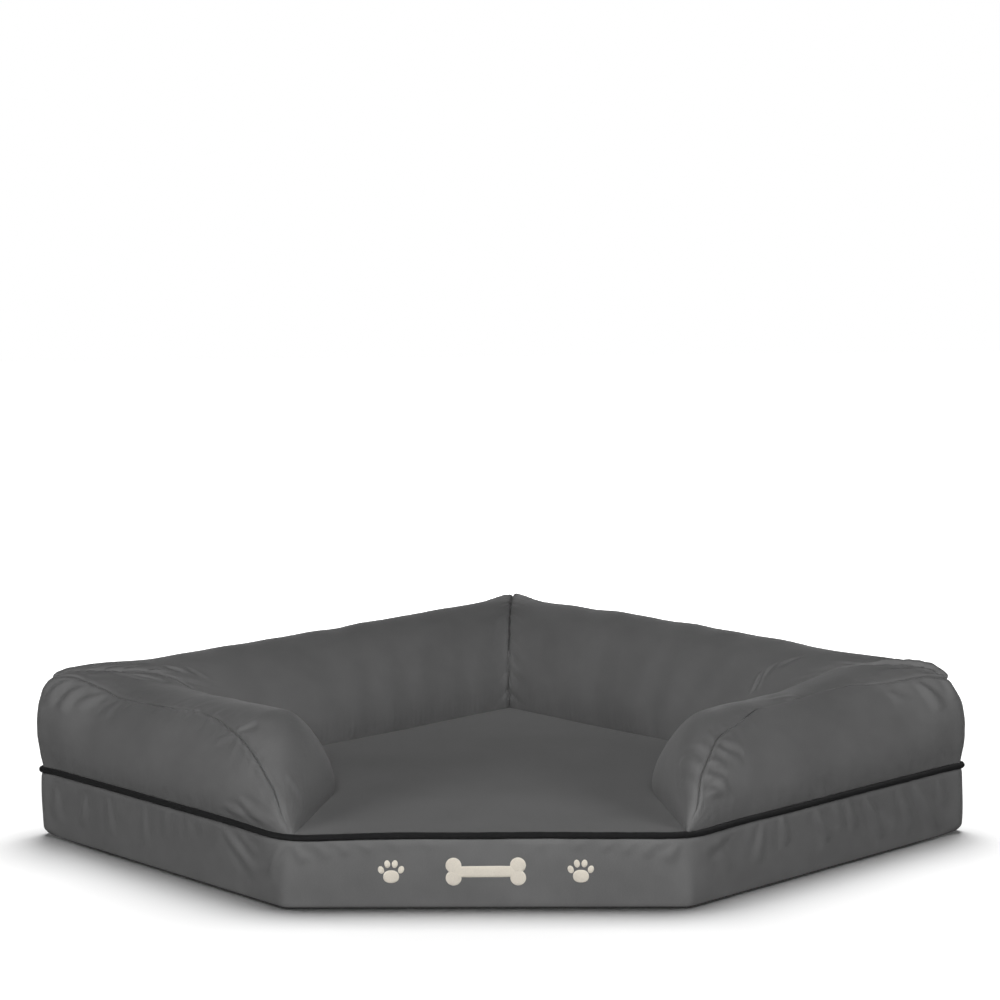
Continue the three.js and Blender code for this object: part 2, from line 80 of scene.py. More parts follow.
def make_camera():
    """A long lens, a little right of the middle and above the bed, turned slightly left and down."""
    data = bpy.data.cameras.new("camera")
    data.sensor_width = SENSOR_WIDTH
    data.lens = LENS
    data.clip_end = 50
    camera = bpy.data.objects.new("camera", data)
    bpy.context.collection.objects.link(camera)
    turn = (Matrix.Rotation(CAMERA_TURN, 3, "Z") @ Matrix.Rotation(CAMERA_TILT, 3, "X")
            @ Matrix.Rotation(CAMERA_ROLL, 3, "Y"))
    looking_along_y = Matrix.Rotation(math.radians(90), 3, "X")
    camera.matrix_world = (turn @ looking_along_y).to_4x4()
    camera.location = (CAMERA_RIGHT, FRONT_Y - CAMERA_BEFORE, CAMERA_HEIGHT)
    bpy.context.scene.camera = camera


make_camera()


# ---- the plan's outline ----
CORNER_POKE, CORNER_POKE_WIDTH = 3.5 * MM, 16 * MM


def unit(v):
    return v / np.linalg.norm(v, axis=-1, keepdims=True)


def bump(x, width):
    return np.exp(-((x / width) ** 2))


def eased(x):
    x = np.clip(x, 0, 1)
    return x * x * (3 - 2 * x)


class Outline:
    """A rounded outline of the base, measured by its length from the front right corner's middle."""

    NAMES = ("front_right", "right", "back", "left", "front_left")
    SQUARE = ("right", "back", "left")

    def __init__(self, sharp, blunt):
        at = {"front_right": (HALF_FRONT, FRONT_Y), "right": (HALF_WIDTH, SIDE_Y), "back": (0, BACK_Y),
              "left": (-HALF_WIDTH, SIDE_Y), "front_left": (-HALF_FRONT, FRONT_Y)}
        self.corner = {name: np.array(place, float) for name, place in at.items()}
        radii = [blunt if name.startswith("front") else sharp for name in self.NAMES]
        turns = [math.radians(45 if name.startswith("front") else 90) for name in self.NAMES]
        reaches = [radius * math.tan(turn / 2) for radius, turn in zip(radii, turns)]
        self.parts = []
        middles = []
        self.length = 0.0
        for i, name in enumerate(self.NAMES):
            here = self.corner[name]
            following = self.corner[self.NAMES[(i + 1) % 5]]
            before = unit(here - self.corner[self.NAMES[i - 1]])
            after = unit(following - here)
            arc = radii[i] * turns[i]
            straight = np.linalg.norm(following - here) - reaches[i] - reaches[(i + 1) % 5]
            inwards = np.array([-before[1], before[0]])
            middles.append(self.length + arc / 2)
            self.parts.append(("arc", self.length, arc, here - before * reaches[i], inwards, radii[i]))
            self.length += arc
            self.parts.append(("line", self.length, straight, here + after * reaches[i], after, 0))
            self.length += straight
        self.first = middles[0]
        self.middle = {name: place - self.first for name, place in zip(self.NAMES, middles)}

    def stations(self):
        return [*self.middle.values(), self.length]

    def beside(self, along, width, names=SQUARE):
        """1 at the named corners, fading to 0 at about twice the width from them."""
        around = np.asarray(along, float) % self.length
        return sum(bump(around - self.middle[name], width) for name in names)

    def at(self, along):
        """Points and inward directions at these lengths. The cloth stands out at the side corners."""
        around = np.asarray(along, float) % self.length
        along = (around + self.first) % self.length
        points = np.zeros((*along.shape, 2))
        inwards = np.zeros_like(points)
        for kind, start, length, origin, direction, radius in self.parts:
            mine = (along >= start - FLOAT_SLACK) & (along <= start + length + FLOAT_SLACK)
            run = (along[mine] - start)[:, None]
            if kind == "line":
                points[mine] = origin + direction * run
                inwards[mine] = np.array([-direction[1], direction[0]])
            else:
                angle = math.atan2(-direction[1], -direction[0]) + run / radius
                out = np.hstack([np.cos(angle), np.sin(angle)])
                points[mine] = origin + direction * radius + out * radius
                inwards[mine] = -out
        poke = self.beside(around, CORNER_POKE_WIDTH, ("right", "left"))
        return points - inwards * (CORNER_POKE * poke)[:, None], inwards


outline = Outline(SHARP_RADIUS, BLUNT_RADIUS)
floor_outline = Outline(10 * MM, 16 * MM)


def after_corner(along, name):
    """How far these places are past a corner, or, below zero, before it."""
    half = outline.length / 2
    return (along - outline.middle[name] + half) % outline.length - half


def sag(along):
    """The cover's top edge hangs a little at the front corners."""
    return (2.4 * MM * bump(along - outline.middle["front_left"], 75 * MM)
            + 0.8 * MM * bump(after_corner(along, "front_right"), 60 * MM))


def placed(along, inset, height):
    """Points of the base's outer face, moved in by inset and up by height: arrays of one shape."""
    around = np.ravel(along) % outline.length
    points, inwards = outline.at(around)
    floor_around = np.interp(around, outline.stations(), floor_outline.stations())
    low_points, low_inwards = floor_outline.at(floor_around)
    rise = eased(np.ravel(height) / PIPING_Z * 0.95 + 0.05)[:, None]
    points = low_points + (points - low_points) * rise
    inwards = unit(low_inwards + (inwards - low_inwards) * rise)
    points = points + inwards * np.ravel(inset)[:, None]
    height = np.ravel(height) * (1 - sag(around) / PIPING_Z)
    return np.column_stack([points, height]).reshape(*np.shape(along), 3)


# ---- smooth fields, the same each run ----
FULL_PHASE = 6.3  # about a whole turn, in radians


def waves(x, y, length, seed, count=7):
    """A smooth random field of about -1 to 1 whose bumps are about length apart."""
    chance = np.random.default_rng(seed)
    total = 0
    for _ in range(count):
        angle = chance.uniform(0, math.pi)
        step = 2 * math.pi / (length * chance.uniform(0.7, 1.6))
        run = x * math.cos(angle) + y * math.sin(angle)
        total = total + np.sin(step * run + chance.uniform(0, FULL_PHASE))
    return total / math.sqrt(count)


def fold(x, y, start, end, width, height):
    """A soft fold from start to end, both (x, y), that fades at its ends. Below zero it is a crease."""
    start, end = np.array(start), np.array(end)
    length = np.linalg.norm(end - start)
    run = (end - start) / length
    along = (x - start[0]) * run[0] + (y - start[1]) * run[1]
    across = -(x - start[0]) * run[1] + (y - start[1]) * run[0]
    inside = np.clip(along / length, 0, 1)
    spread = width * (0.6 + 0.8 * inside)
    fade = np.where((along > 0) & (along < length), np.sin(math.pi * inside) ** 0.6, 0)
    return height * fade * (bump(across, spread) - 0.45 * bump(np.abs(across) - 1.7 * spread, spread))


# ---- grids: (row, column) arrays of points ----
def resampled(grid, rows, columns):
    """The grid at fractional rows and columns, on smooth curves through its points."""
    def along_first(points, places):
        last = len(points) - 1
        whole = np.clip(np.floor(places).astype(int), 0, last - 1)
        t = (places - whole).reshape(-1, *[1] * (points.ndim - 1))
        p0, p1 = points[np.clip(whole - 1, 0, last)], points[whole]
        p2, p3 = points[whole + 1], points[np.clip(whole + 2, 0, last)]
        return (p1 + 0.5 * t * (p2 - p0 + t * (2 * p0 - 5 * p1 + 4 * p2 - p3
                                              + t * (3 * (p1 - p2) + p3 - p0))))
    across = along_first(grid, np.asarray(rows, float))
    return np.swapaxes(along_first(np.swapaxes(across, 0, 1), np.asarray(columns, float)), 0, 1)


def graded(start, end, step, near_start, near_end):
    """Places from start to end, a step apart, with closer ones beside an end that is a seam."""
    places = list(np.linspace(start, end, max(int(round((end - start) / step)), 2) + 1))
    gap = places[1] - places[0]
    close = [0.12, 0.28, 0.5, 0.75]
    if near_start:
        places += [start + gap * c for c in close]
    if near_end:
        places += [end - gap * c for c in close]
    return np.array(sorted(places))


def normals_of(grid):
    across = np.gradient(grid, axis=1)
    up = np.gradient(grid, axis=0)
    return unit(np.cross(across, up) + 1e-12)


def run_lengths(grid, axis):
    """How far each point is from the grid's first row or column, along the surface."""
    steps = np.linalg.norm(np.diff(grid, axis=axis), axis=-1)
    first = np.zeros_like(np.take(steps, [0], axis=axis))
    return np.concatenate([first, np.cumsum(steps, axis=axis)], axis=axis)


def mesh_object(name, vertices, faces):
    mesh = bpy.data.meshes.new(name)
    mesh.from_pydata([tuple(v) for v in vertices], [], [tuple(f) for f in faces])
    mesh.validate()
    mesh.update()
    return linked(name, mesh)


def linked(name, mesh):
    mesh.shade_smooth()
    piece = bpy.data.objects.new(name, mesh)
    bpy.context.collection.objects.link(piece)
    return piece


def grid_faces(rows, columns, around=False):
    last = columns if around else columns - 1
    row, column = np.meshgrid(np.arange(rows - 1), np.arange(last), indexing="ij")
    after = (column + 1) % columns
    corners = [row * columns + column, row * columns + after,
               (row + 1) * columns + after, (row + 1) * columns + column]
    return np.stack(corners, axis=-1).reshape(-1, 4)


def thickened(piece, thickness):
    """Gives a cloth face its thickness, inwards."""
    shell = piece.modifiers.new("thickness", "SOLIDIFY")
    shell.thickness = thickness
    shell.offset = -1


def cloth_piece(name, grid, thickness, around=False, run=None):
    """A cloth panel from a grid of its outer face, with its weave coordinates in metres."""
    rows, columns = grid.shape[:2]
    piece = mesh_object(name, grid.reshape(-1, 3), grid_faces(rows, columns, around))
    across = run_lengths(grid, 1) if run is None else run
    up = run_lengths(grid, 0)
    set_weave(piece, np.stack([across, up], axis=-1).reshape(-1, 2))
    thickened(piece, thickness)
    return piece


def fix_normals(piece, closing=False):
    """Turns the faces outwards. An open strip is closed into a bag first, where that is asked for."""
    mesh = bmesh.new()
    mesh.from_mesh(piece.data)
    if closing:
        bmesh.ops.holes_fill(mesh, edges=[e for e in mesh.edges if e.is_boundary], sides=0)
        bmesh.ops.triangulate(mesh, faces=[f for f in mesh.faces if len(f.verts) > 4])
    bmesh.ops.recalc_face_normals(mesh, faces=mesh.faces)
    mesh.to_mesh(piece.data)
    mesh.free()


def set_weave(piece, places):
    layer = piece.data.uv_layers.new(name="weave")
    corners = np.empty(len(piece.data.loops), dtype=np.int32)
    piece.data.loops.foreach_get("vertex_index", corners)
    layer.data.foreach_set("uv", places[corners].astype(np.float32).ravel())


def finished(piece, material, body="root", nodes=()):
    piece.data.materials.append(material)
    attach(piece, body)
    if nodes:
        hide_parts(*nodes)
    return piece


# ---- materials ----
class Nodes:
    """Short names for building a material's nodes."""

    def __init__(self, name, roughness, metallic=0.0, specular=0.5, sheen=0.0):
        self.material = bpy.data.materials.new(name)
        self.material.use_nodes = True
        self.tree = self.material.node_tree
        self.shader = self.tree.nodes["Principled BSDF"]
        self.shader.inputs["Roughness"].default_value = roughness
        self.shader.inputs["Metallic"].default_value = metallic
        self.shader.inputs["Specular IOR Level"].default_value = specular
        self.shader.inputs["Sheen Weight"].default_value = sheen

    def add(self, kind, inputs=None, **settings):
        node = self.tree.nodes.new(kind)
        for key, value in settings.items():
            setattr(node, key, value)
        for key, value in (inputs or {}).items():
            if isinstance(value, bpy.types.NodeSocket):
                self.tree.links.new(value, node.inputs[key])
            else:
                node.inputs[key].default_value = value
        return node

    def math(self, operation, a, b=0.0):
        return self.add("ShaderNodeMath", {0: a, 1: b}, operation=operation).outputs[0]

    def noise(self, vector, scale, detail=2.0):
        return self.add("ShaderNodeTexNoise", {"Vector": vector, "Scale": scale, "Detail": detail}).outputs[0]

    def place(self):
        return self.add("ShaderNodeUVMap", uv_map="weave").outputs[0]

    def object_place(self):
        return self.add("ShaderNodeTexCoord").outputs["Object"]

    def drawn_out(self, vector, scale):
        return self.add("ShaderNodeMapping", {"Vector": vector, "Scale": scale}).outputs[0]

    def ramp(self, value, low, high, low_at=0.0, high_at=1.0):
        return self.add("ShaderNodeMapRange", {"Value": value, "From Min": low_at, "From Max": high_at,
                                               "To Min": low, "To Max": high}).outputs[0]

    def shade(self, colour, value):
        """colour times value, as a colour."""
        plain = self.add("ShaderNodeCombineColor", {0: value, 1: value, 2: value}).outputs[0]
        mix = self.add("ShaderNodeMix", {0: 1.0, 6: (*colour, 1), 7: plain},
                       data_type="RGBA", blend_type="MULTIPLY")
        return mix.outputs[2]

    def finish(self, colour, height=None, depth=0.0, roughness=None):
        self.tree.links.new(colour, self.shader.inputs["Base Color"])
        if roughness is not None:
            self.tree.links.new(roughness, self.shader.inputs["Roughness"])
        if height is not None:
            bumped = self.add("ShaderNodeBump", {"Height": height, "Distance": depth, "Strength": 1.0})
            self.tree.links.new(bumped.outputs[0], self.shader.inputs["Normal"])
        return self.material


def threads(nodes, place, pitch):
    """Height of a plain weave, 0 to 1, with a thread every pitch both ways."""
    parts = nodes.add("ShaderNodeSeparateXYZ", {0: place})
    waves_both = []
    for axis in (0, 1):
        turned = nodes.math("MULTIPLY", parts.outputs[axis], math.pi / pitch)
        waves_both.append(nodes.math("SINE", turned))
    crossed = nodes.math("MULTIPLY", waves_both[0], waves_both[1])
    return nodes.math("MULTIPLY_ADD", crossed, 0.5)


def oxford_cloth():
    nodes = Nodes("oxford_cloth", roughness=0.6, specular=0.4, sheen=0.12)
    nodes.shader.inputs["Sheen Roughness"].default_value = 0.45
    place = nodes.place()
    weave = threads(nodes, place, 0.62 * MM)
    slub = nodes.noise(nodes.drawn_out(place, (1, 3, 1)), 650)
    cloud = nodes.noise(nodes.object_place(), 9, 3)
    worn = nodes.noise(nodes.object_place(), 60, 4)
    shade = nodes.ramp(cloud, 0.93, 1.07, 0.3, 0.7)
    shade = nodes.math("MULTIPLY", shade, nodes.ramp(worn, 0.96, 1.04, 0.3, 0.7))
    shade = nodes.math("MULTIPLY", shade, nodes.ramp(slub, 0.84, 1.16, 0.25, 0.75))
    shade = nodes.math("MULTIPLY", shade, nodes.ramp(weave, 0.88, 1.1, -0.5, 0.5))
    height = nodes.math("MULTIPLY_ADD", slub, 0.5)
    height = nodes.math("ADD", weave, height)
    colour = nodes.shade((0.096, 0.096, 0.096), shade)
    return nodes.finish(colour, height, 0.1 * MM, nodes.ramp(worn, 0.54, 0.64))


def piping_cloth():
    nodes = Nodes("piping_twill", roughness=0.7, specular=0.2, sheen=0.03)
    parts = nodes.add("ShaderNodeSeparateXYZ", {0: nodes.place()})
    slanted = nodes.math("ADD", parts.outputs[0], parts.outputs[1])
    twill = nodes.math("SINE", nodes.math("MULTIPLY", slanted, 2 * math.pi / (1.1 * MM)))
    fuzz = nodes.noise(nodes.object_place(), 300, 3)
    shade = nodes.math("MULTIPLY", nodes.ramp(twill, 0.8, 1.2, -1, 1), nodes.ramp(fuzz, 0.8, 1.25, 0.3, 0.7))
    return nodes.finish(nodes.shade((0.0075, 0.0075, 0.008), shade), twill, 0.12 * MM)


def satin_thread():
    nodes = Nodes("embroidery_thread", roughness=0.45, specular=0.5, sheen=0.25)
    parts = nodes.add("ShaderNodeSeparateXYZ", {0: nodes.place()})
    strand = nodes.math("SINE", nodes.math("MULTIPLY", parts.outputs[0], 2 * math.pi / (0.75 * MM)))
    uneven = nodes.noise(nodes.object_place(), 700, 2)
    shade = nodes.math("MULTIPLY", nodes.ramp(strand, 0.86, 1.06, -1, 1), nodes.ramp(uneven, 0.88, 1.08))
    return nodes.finish(nodes.shade((0.80, 0.74, 0.64), shade), strand, 0.15 * MM)


def base_cloth():
    nodes = Nodes("coated_base_cloth", roughness=0.85, specular=0.25)
    place = nodes.object_place()
    weave = threads(nodes, place, 0.9 * MM)
    cloud = nodes.noise(place, 12, 4)
    dust = nodes.noise(place, 180, 3)
    shade = nodes.math("MULTIPLY", nodes.ramp(cloud, 0.85, 1.15), nodes.ramp(dust, 0.85, 1.2))
    return nodes.finish(nodes.shade((0.036, 0.036, 0.038), shade), weave, 0.2 * MM)


def dot_rubber():
    nodes = Nodes("non_slip_rubber", roughness=0.5, specular=0.5)
    grain = nodes.noise(nodes.object_place(), 500, 3)
    return nodes.finish(nodes.shade((0.02, 0.02, 0.021), nodes.ramp(grain, 0.7, 1.3)), grain, 0.1 * MM,
                        nodes.ramp(grain, 0.4, 0.65))


def zip_tape_cloth():
    nodes = Nodes("zip_tape_weave", roughness=0.8, specular=0.25, sheen=0.1)
    weave = threads(nodes, nodes.place(), 0.8 * MM)
    fuzz = nodes.noise(nodes.object_place(), 250, 3)
    shade = nodes.math("MULTIPLY", nodes.ramp(weave, 0.75, 1.2, -0.5, 0.5), nodes.ramp(fuzz, 0.85, 1.15))
    return nodes.finish(nodes.shade((0.016, 0.016, 0.017), shade), weave, 0.2 * MM)


def nylon():
    nodes = Nodes("zip_nylon", roughness=0.38, specular=0.5)
    grain = nodes.noise(nodes.object_place(), 900, 2)
    return nodes.finish(nodes.shade((0.013, 0.013, 0.014), nodes.ramp(grain, 0.8, 1.25)), grain, 0.05 * MM)


def lacquered_metal():
    nodes = Nodes("lacquered_zinc", roughness=0.35, metallic=0.4)
    nodes.shader.inputs["Coat Weight"].default_value = 0.4
    grain = nodes.noise(nodes.object_place(), 220, 5)
    cast = nodes.noise(nodes.object_place(), 900, 2)
    return nodes.finish(nodes.shade((0.15, 0.15, 0.155), nodes.ramp(grain, 0.75, 1.35)), cast, 0.04 * MM,
                        nodes.ramp(grain, 0.25, 0.48))


def foam(name, colour):
    nodes = Nodes(name, roughness=0.95, specular=0.2)
    place = nodes.object_place()
    cells = nodes.add("ShaderNodeTexVoronoi", {"Vector": place, "Scale": 450.0}).outputs["Distance"]
    cloud = nodes.noise(place, 15, 3)
    shade = nodes.math("MULTIPLY", nodes.ramp(cells, 0.8, 1.05, 0, 0.6), nodes.ramp(cloud, 0.95, 1.05))
    return nodes.finish(nodes.shade(colour, shade), cells, 0.5 * MM)


def liner_cloth():
    nodes = Nodes("liner_cloth", roughness=0.55, specular=0.4)
    place = nodes.object_place()
    weave = threads(nodes, place, 0.5 * MM)
    cloud = nodes.noise(place, 20, 3)
    shade = nodes.math("MULTIPLY", nodes.ramp(weave, 0.93, 1.03, -0.5, 0.5), nodes.ramp(cloud, 0.94, 1.05))
    return nodes.finish(nodes.shade((0.62, 0.63, 0.64), shade), weave, 0.1 * MM)


def fibre():
    nodes = Nodes("polyester_fibre", roughness=1.0, specular=0.1)
    place = nodes.object_place()
    tangle = nodes.noise(nodes.drawn_out(place, (1, 4, 2)), 160, 5)
    return nodes.finish(nodes.shade((0.86, 0.85, 0.82), nodes.ramp(tangle, 0.8, 1.1)), tangle, 1.5 * MM)


FLOOR_GLOW = (0.02, 1.3)  # beside the bed, far from it
FLOOR_GLOW_SPAN = (0.5, 1.5)  # metres from the middle, between which the glow rises


def stage_floor():
    """White paper that glows more the farther it is from the bed, so that it fades into the background."""
    nodes = Nodes("studio_floor", roughness=0.9, specular=0.1)
    grain = nodes.noise(nodes.object_place(), 3, 2)
    from_middle = nodes.add("ShaderNodeVectorMath", {0: nodes.object_place()}, operation="LENGTH")
    glow = nodes.ramp(from_middle.outputs["Value"], *FLOOR_GLOW, *FLOOR_GLOW_SPAN)
    nodes.shader.inputs["Emission Color"].default_value = (1, 1, 1, 1)
    nodes.tree.links.new(glow, nodes.shader.inputs["Emission Strength"])
    return nodes.finish(nodes.shade((0.86, 0.86, 0.86), nodes.ramp(grain, 0.99, 1.01)))


CLOTH = oxford_cloth()
PIPING_CLOTH = piping_cloth()
THREAD = satin_thread()
BASE_CLOTH = base_cloth()
DOTS = dot_rubber()
TAPE = zip_tape_cloth()
NYLON = nylon()
METAL = lacquered_metal()
LINER = liner_cloth()
FIBRE = fibre()
CAD_FINISHES = {
    "support_foam": foam("support_foam_cells", (0.78, 0.74, 0.63)),
    "memory_foam": foam("memory_foam_cells", (0.62, 0.69, 0.78)),
    "foam_liner": LINER, "liner_flap": LINER,
}

# ---- the rim's shape ----
OUTER_FOOT_Z = PIPING_Z + 2.5 * MM  # the cloth starts behind the piping
INNER_FOOT_Z = BASE_TOP - 1 * MM
OUTER_TUCK = 2 * MM  # the outer foot is this far in from the border's face
OUTER_SHOULDER, OUTER_POWER = 78 * MM, 2.15
CORNER_POWER = {"left": 4.6, "back": 2.6, "right": 2.2}  # added where the filling is packed tight
CORNER_PACKING = 42 * MM
INNER_SHOULDER, INNER_POWER = 80 * MM, 2.25
OUTER_BULGE, INNER_BULGE, END_BULGE = 6 * MM, 7 * MM, 4 * MM
OUTER_BULGE_SPAN, INNER_BULGE_SPAN, END_BULGE_SPAN = 48 * MM, 60 * MM, 48 * MM
END_LEAN = math.radians(8)
HEEL_ALONG = 102 * MM  # a free end's foot runs from the front corner to here, at the rim's inner foot
# the free ends' curves, left and right: reach at the outer seam and further in, and roundness at the seam
END_OUTER_REACH = (84 * MM, 60 * MM)
END_INNER_REACH = (48 * MM, 66 * MM)
END_OUTER_POWER = (2.2, 2.9)
END_INNER_POWER = 2.6
RIGHT_TIP, LEFT_TIP = (-2 * MM, 4 * MM), (-12 * MM, 4 * MM)  # X and Y from the corner, the left one mirrored
RIGHT_SEAM_START = 6 * MM  # the right end's seam foot is past its corner
CREST_DIP, CREST_DIP_WIDTH = 3 * MM, 14 * MM  # the mitre seams pull the crest down
SECTION_ROWS, SEAM_ROW = 74, 28  # rows of the rim's grid from foot to foot, and its long seam's row

# (corner, millimetres after it, height of the crest above the floor)
CREST = (("front_right", 0, 184), ("right", -150, 185), ("right", -93, 190), ("right", -20, 198),
         ("right", 0, 202), ("right", 60, 206), ("right", 250, 210), ("back", -250, 211), ("back", 0, 206),
         ("back", 120, 207), ("back", 380, 205), ("left", -100, 205), ("left", 0, 202), ("left", 40, 187),
         ("left", 180, 186), ("front_left", -200, 188), ("front_left", 0, 189))
# (corner, millimetres after it, inset of the long seam)
SEAM = (("front_right", 0, 2), ("front_right", 13, 3), ("front_right", 18, 7), ("front_right", 31, 15),
        ("front_right", 45, 19), ("front_right", 81, 33), ("front_right", 122, 41), ("front_right", 170, 54),
        ("right", -140, 60), ("right", -90, 52), ("right", -54, 35), ("right", 0, 10), ("right", 70, 36),
        ("back", -80, 42), ("back", 0, 26), ("back", 80, 42), ("left", -70, 34), ("left", 0, 8),
        ("left", 20, 22), ("left", 58, 35), ("left", 110, 38), ("front_left", -290, 40),
        ("front_left", -211, 43), ("front_left", -165, 38), ("front_left", -111, 28),
        ("front_left", -72, 20), ("front_left", -46, 15), ("front_left", -29, 12),
        ("front_left", -12, 5), ("front_left", 0, 2))


def profiled(along, stations, blur):
    """A smooth line through stations of (corner, millimetres after it, value in millimetres)."""
    places = [outline.middle[name] + after * MM for name, after, _ in stations]
    fine = np.linspace(0, outline.middle["front_left"], 3000)
    values = np.interp(fine, places, [value * MM for _, _, value in stations])
    reach = int(blur / (fine[1] - fine[0]))
    kernel = np.hanning(2 * reach + 1)
    values = np.convolve(np.pad(values, reach, "edge"), kernel / kernel.sum(), "valid")
    return np.interp(along, fine, values)


def shoulder(distance, reach, power):
    """0 at a foot to 1 at a reach from it, steep at the foot and flat on top."""
    left = 1 - np.clip(distance / reach, 0, 1)
    return np.clip(1 - left ** power, 0, 1) ** (1 / power)


def inner_feet(along, tip):
    """The rim's inner foot, right half: along the free end from its tip, then along the inner edges."""
    step = RIM_WIDTH * math.sqrt(2)
    right = np.array([HALF_WIDTH - step, SIDE_Y])
    back = np.array([0, BACK_Y - step])
    back_run = unit(outline.corner["right"] - outline.corner["front_right"])
    heel = outline.corner["front_right"] + back_run * HEEL_ALONG
    heel = heel + np.array([-back_run[1], back_run[0]]) * RIM_WIDTH
    tip = outline.corner["front_right"] + np.array(tip)
    half_arc = SHARP_RADIUS * math.pi / 4
    keys = [(0, tip), (HEEL_ALONG, heel), (outline.middle["right"] - half_arc, right),
            (outline.middle["right"] + half_arc, right), (outline.middle["back"] - half_arc, back),
            (outline.middle["back"], back)]
    places = [place for place, _ in keys]
    return np.column_stack([np.interp(along, places, [point[axis] for _, point in keys]) for axis in (0, 1)])


def rim_grid(step):
    """The rim's outer face as it is cut and filled, and its columns' lengths along the outline."""
    end = outline.middle["back"]
    half = np.linspace(0, end, int(round(end / step)) + 1)
    along = np.concatenate([half, 2 * end - half[-2::-1]])
    from_tip = np.concatenate([half, half[-2::-1]])
    left_inner = inner_feet(half[-2::-1], LEFT_TIP) * np.array([-1, 1])
    inner = np.vstack([inner_feet(half, RIGHT_TIP), left_inner])
    start = RIGHT_SEAM_START * np.clip(1 - along / HEEL_ALONG, 0, 1)
    outer, inwards = outline.at(along + start)
    outer = outer + inwards * OUTER_TUCK * np.clip(from_tip / (20 * MM), 0, 1)[:, None]

    share = (0.5 - 0.5 * np.cos(np.linspace(0, math.pi, 260)))[:, None]
    left_hand = along > end
    inset = share * RIM_WIDTH * np.clip(from_tip / HEEL_ALONG, 0, 1)
    slant = math.sin(math.radians(45) + END_LEAN)
    from_end = slant * (from_tip * (1 - share) + np.clip(from_tip - HEEL_ALONG, 0, None) * share)
    inwards_share = eased(inset / (100 * MM))
    end_reach = np.where(left_hand, *END_OUTER_REACH)
    end_reach = end_reach + (np.where(left_hand, *END_INNER_REACH) - end_reach) * inwards_share
    end_power = np.where(left_hand, *END_OUTER_POWER)
    end_power = end_power + (END_INNER_POWER - end_power) * inwards_share
    packed = sum(power * outline.beside(along, CORNER_PACKING, [corner])
                 for corner, power in CORNER_POWER.items())
    rise = shoulder(inset, OUTER_SHOULDER, OUTER_POWER + packed[None])
    rise = rise * shoulder(RIM_WIDTH - inset, INNER_SHOULDER, INNER_POWER)
    rise = rise * shoulder(from_end, end_reach, end_power)
    chord = inner - outer
    flat = outer[None] + chord[None] * share[..., None]
    swell = np.sin(math.pi * np.clip(rise, 0, 1) ** 0.8)[..., None]
    away = np.where(left_hand, 1, -1)[:, None] * np.array([[math.cos(END_LEAN), 0]])
    away = away + np.array([[0, -math.sin(END_LEAN)]])
    near_outer, near_inner, near_end = (
        np.clip(1 - distance / span, 0, 1)[..., None] ** 2 for distance, span in (
            (inset, OUTER_BULGE_SPAN), (RIM_WIDTH - inset, INNER_BULGE_SPAN), (from_end, END_BULGE_SPAN)))
    flat = flat - inwards[None] * OUTER_BULGE * swell * near_outer
    flat = flat + unit(chord)[None] * INNER_BULGE * swell * near_inner
    flat = flat + away[None] * END_BULGE * swell * near_end
    foot = OUTER_FOOT_Z - sag(along) + (INNER_FOOT_Z - OUTER_FOOT_Z) * share + 0 * inset
    height = profiled(along, CREST, 45 * MM) - CREST_DIP * outline.beside(along, CREST_DIP_WIDTH)
    points = np.dstack([flat, foot + (height - foot) * rise])

    seam_share = profiled(along, SEAM, 12 * MM) / np.maximum(inset[-1], 4 * MM)
    return spread(points, share[:, 0], seam_share), along


def spread(points, share, seam_share):
    """Each column's points at even lengths along it, with the long seam at its own row."""
    run = run_lengths(points, 0)
    result = np.empty((SECTION_ROWS, points.shape[1], 3))
    for column in range(points.shape[1]):
        length = run[:, column]
        seam = np.interp(seam_share[column], share, length)
        places = np.concatenate([np.linspace(0, seam, SEAM_ROW + 1),
                                 np.linspace(seam, length[-1], SECTION_ROWS - SEAM_ROW)[1:]])
        for axis in range(3):
            result[:, column, axis] = np.interp(places, length, points[:, column, axis])
    return result


# ---- cloth simulation ----
STUFFING_FRAMES = 20
FINEST_WRINKLE, COARSEST_WRINKLE = 1, 8  # grid steps


def from_ends(count):
    """How many steps each of these places is from the nearer end."""
    return np.minimum(np.arange(count), np.arange(count)[::-1])


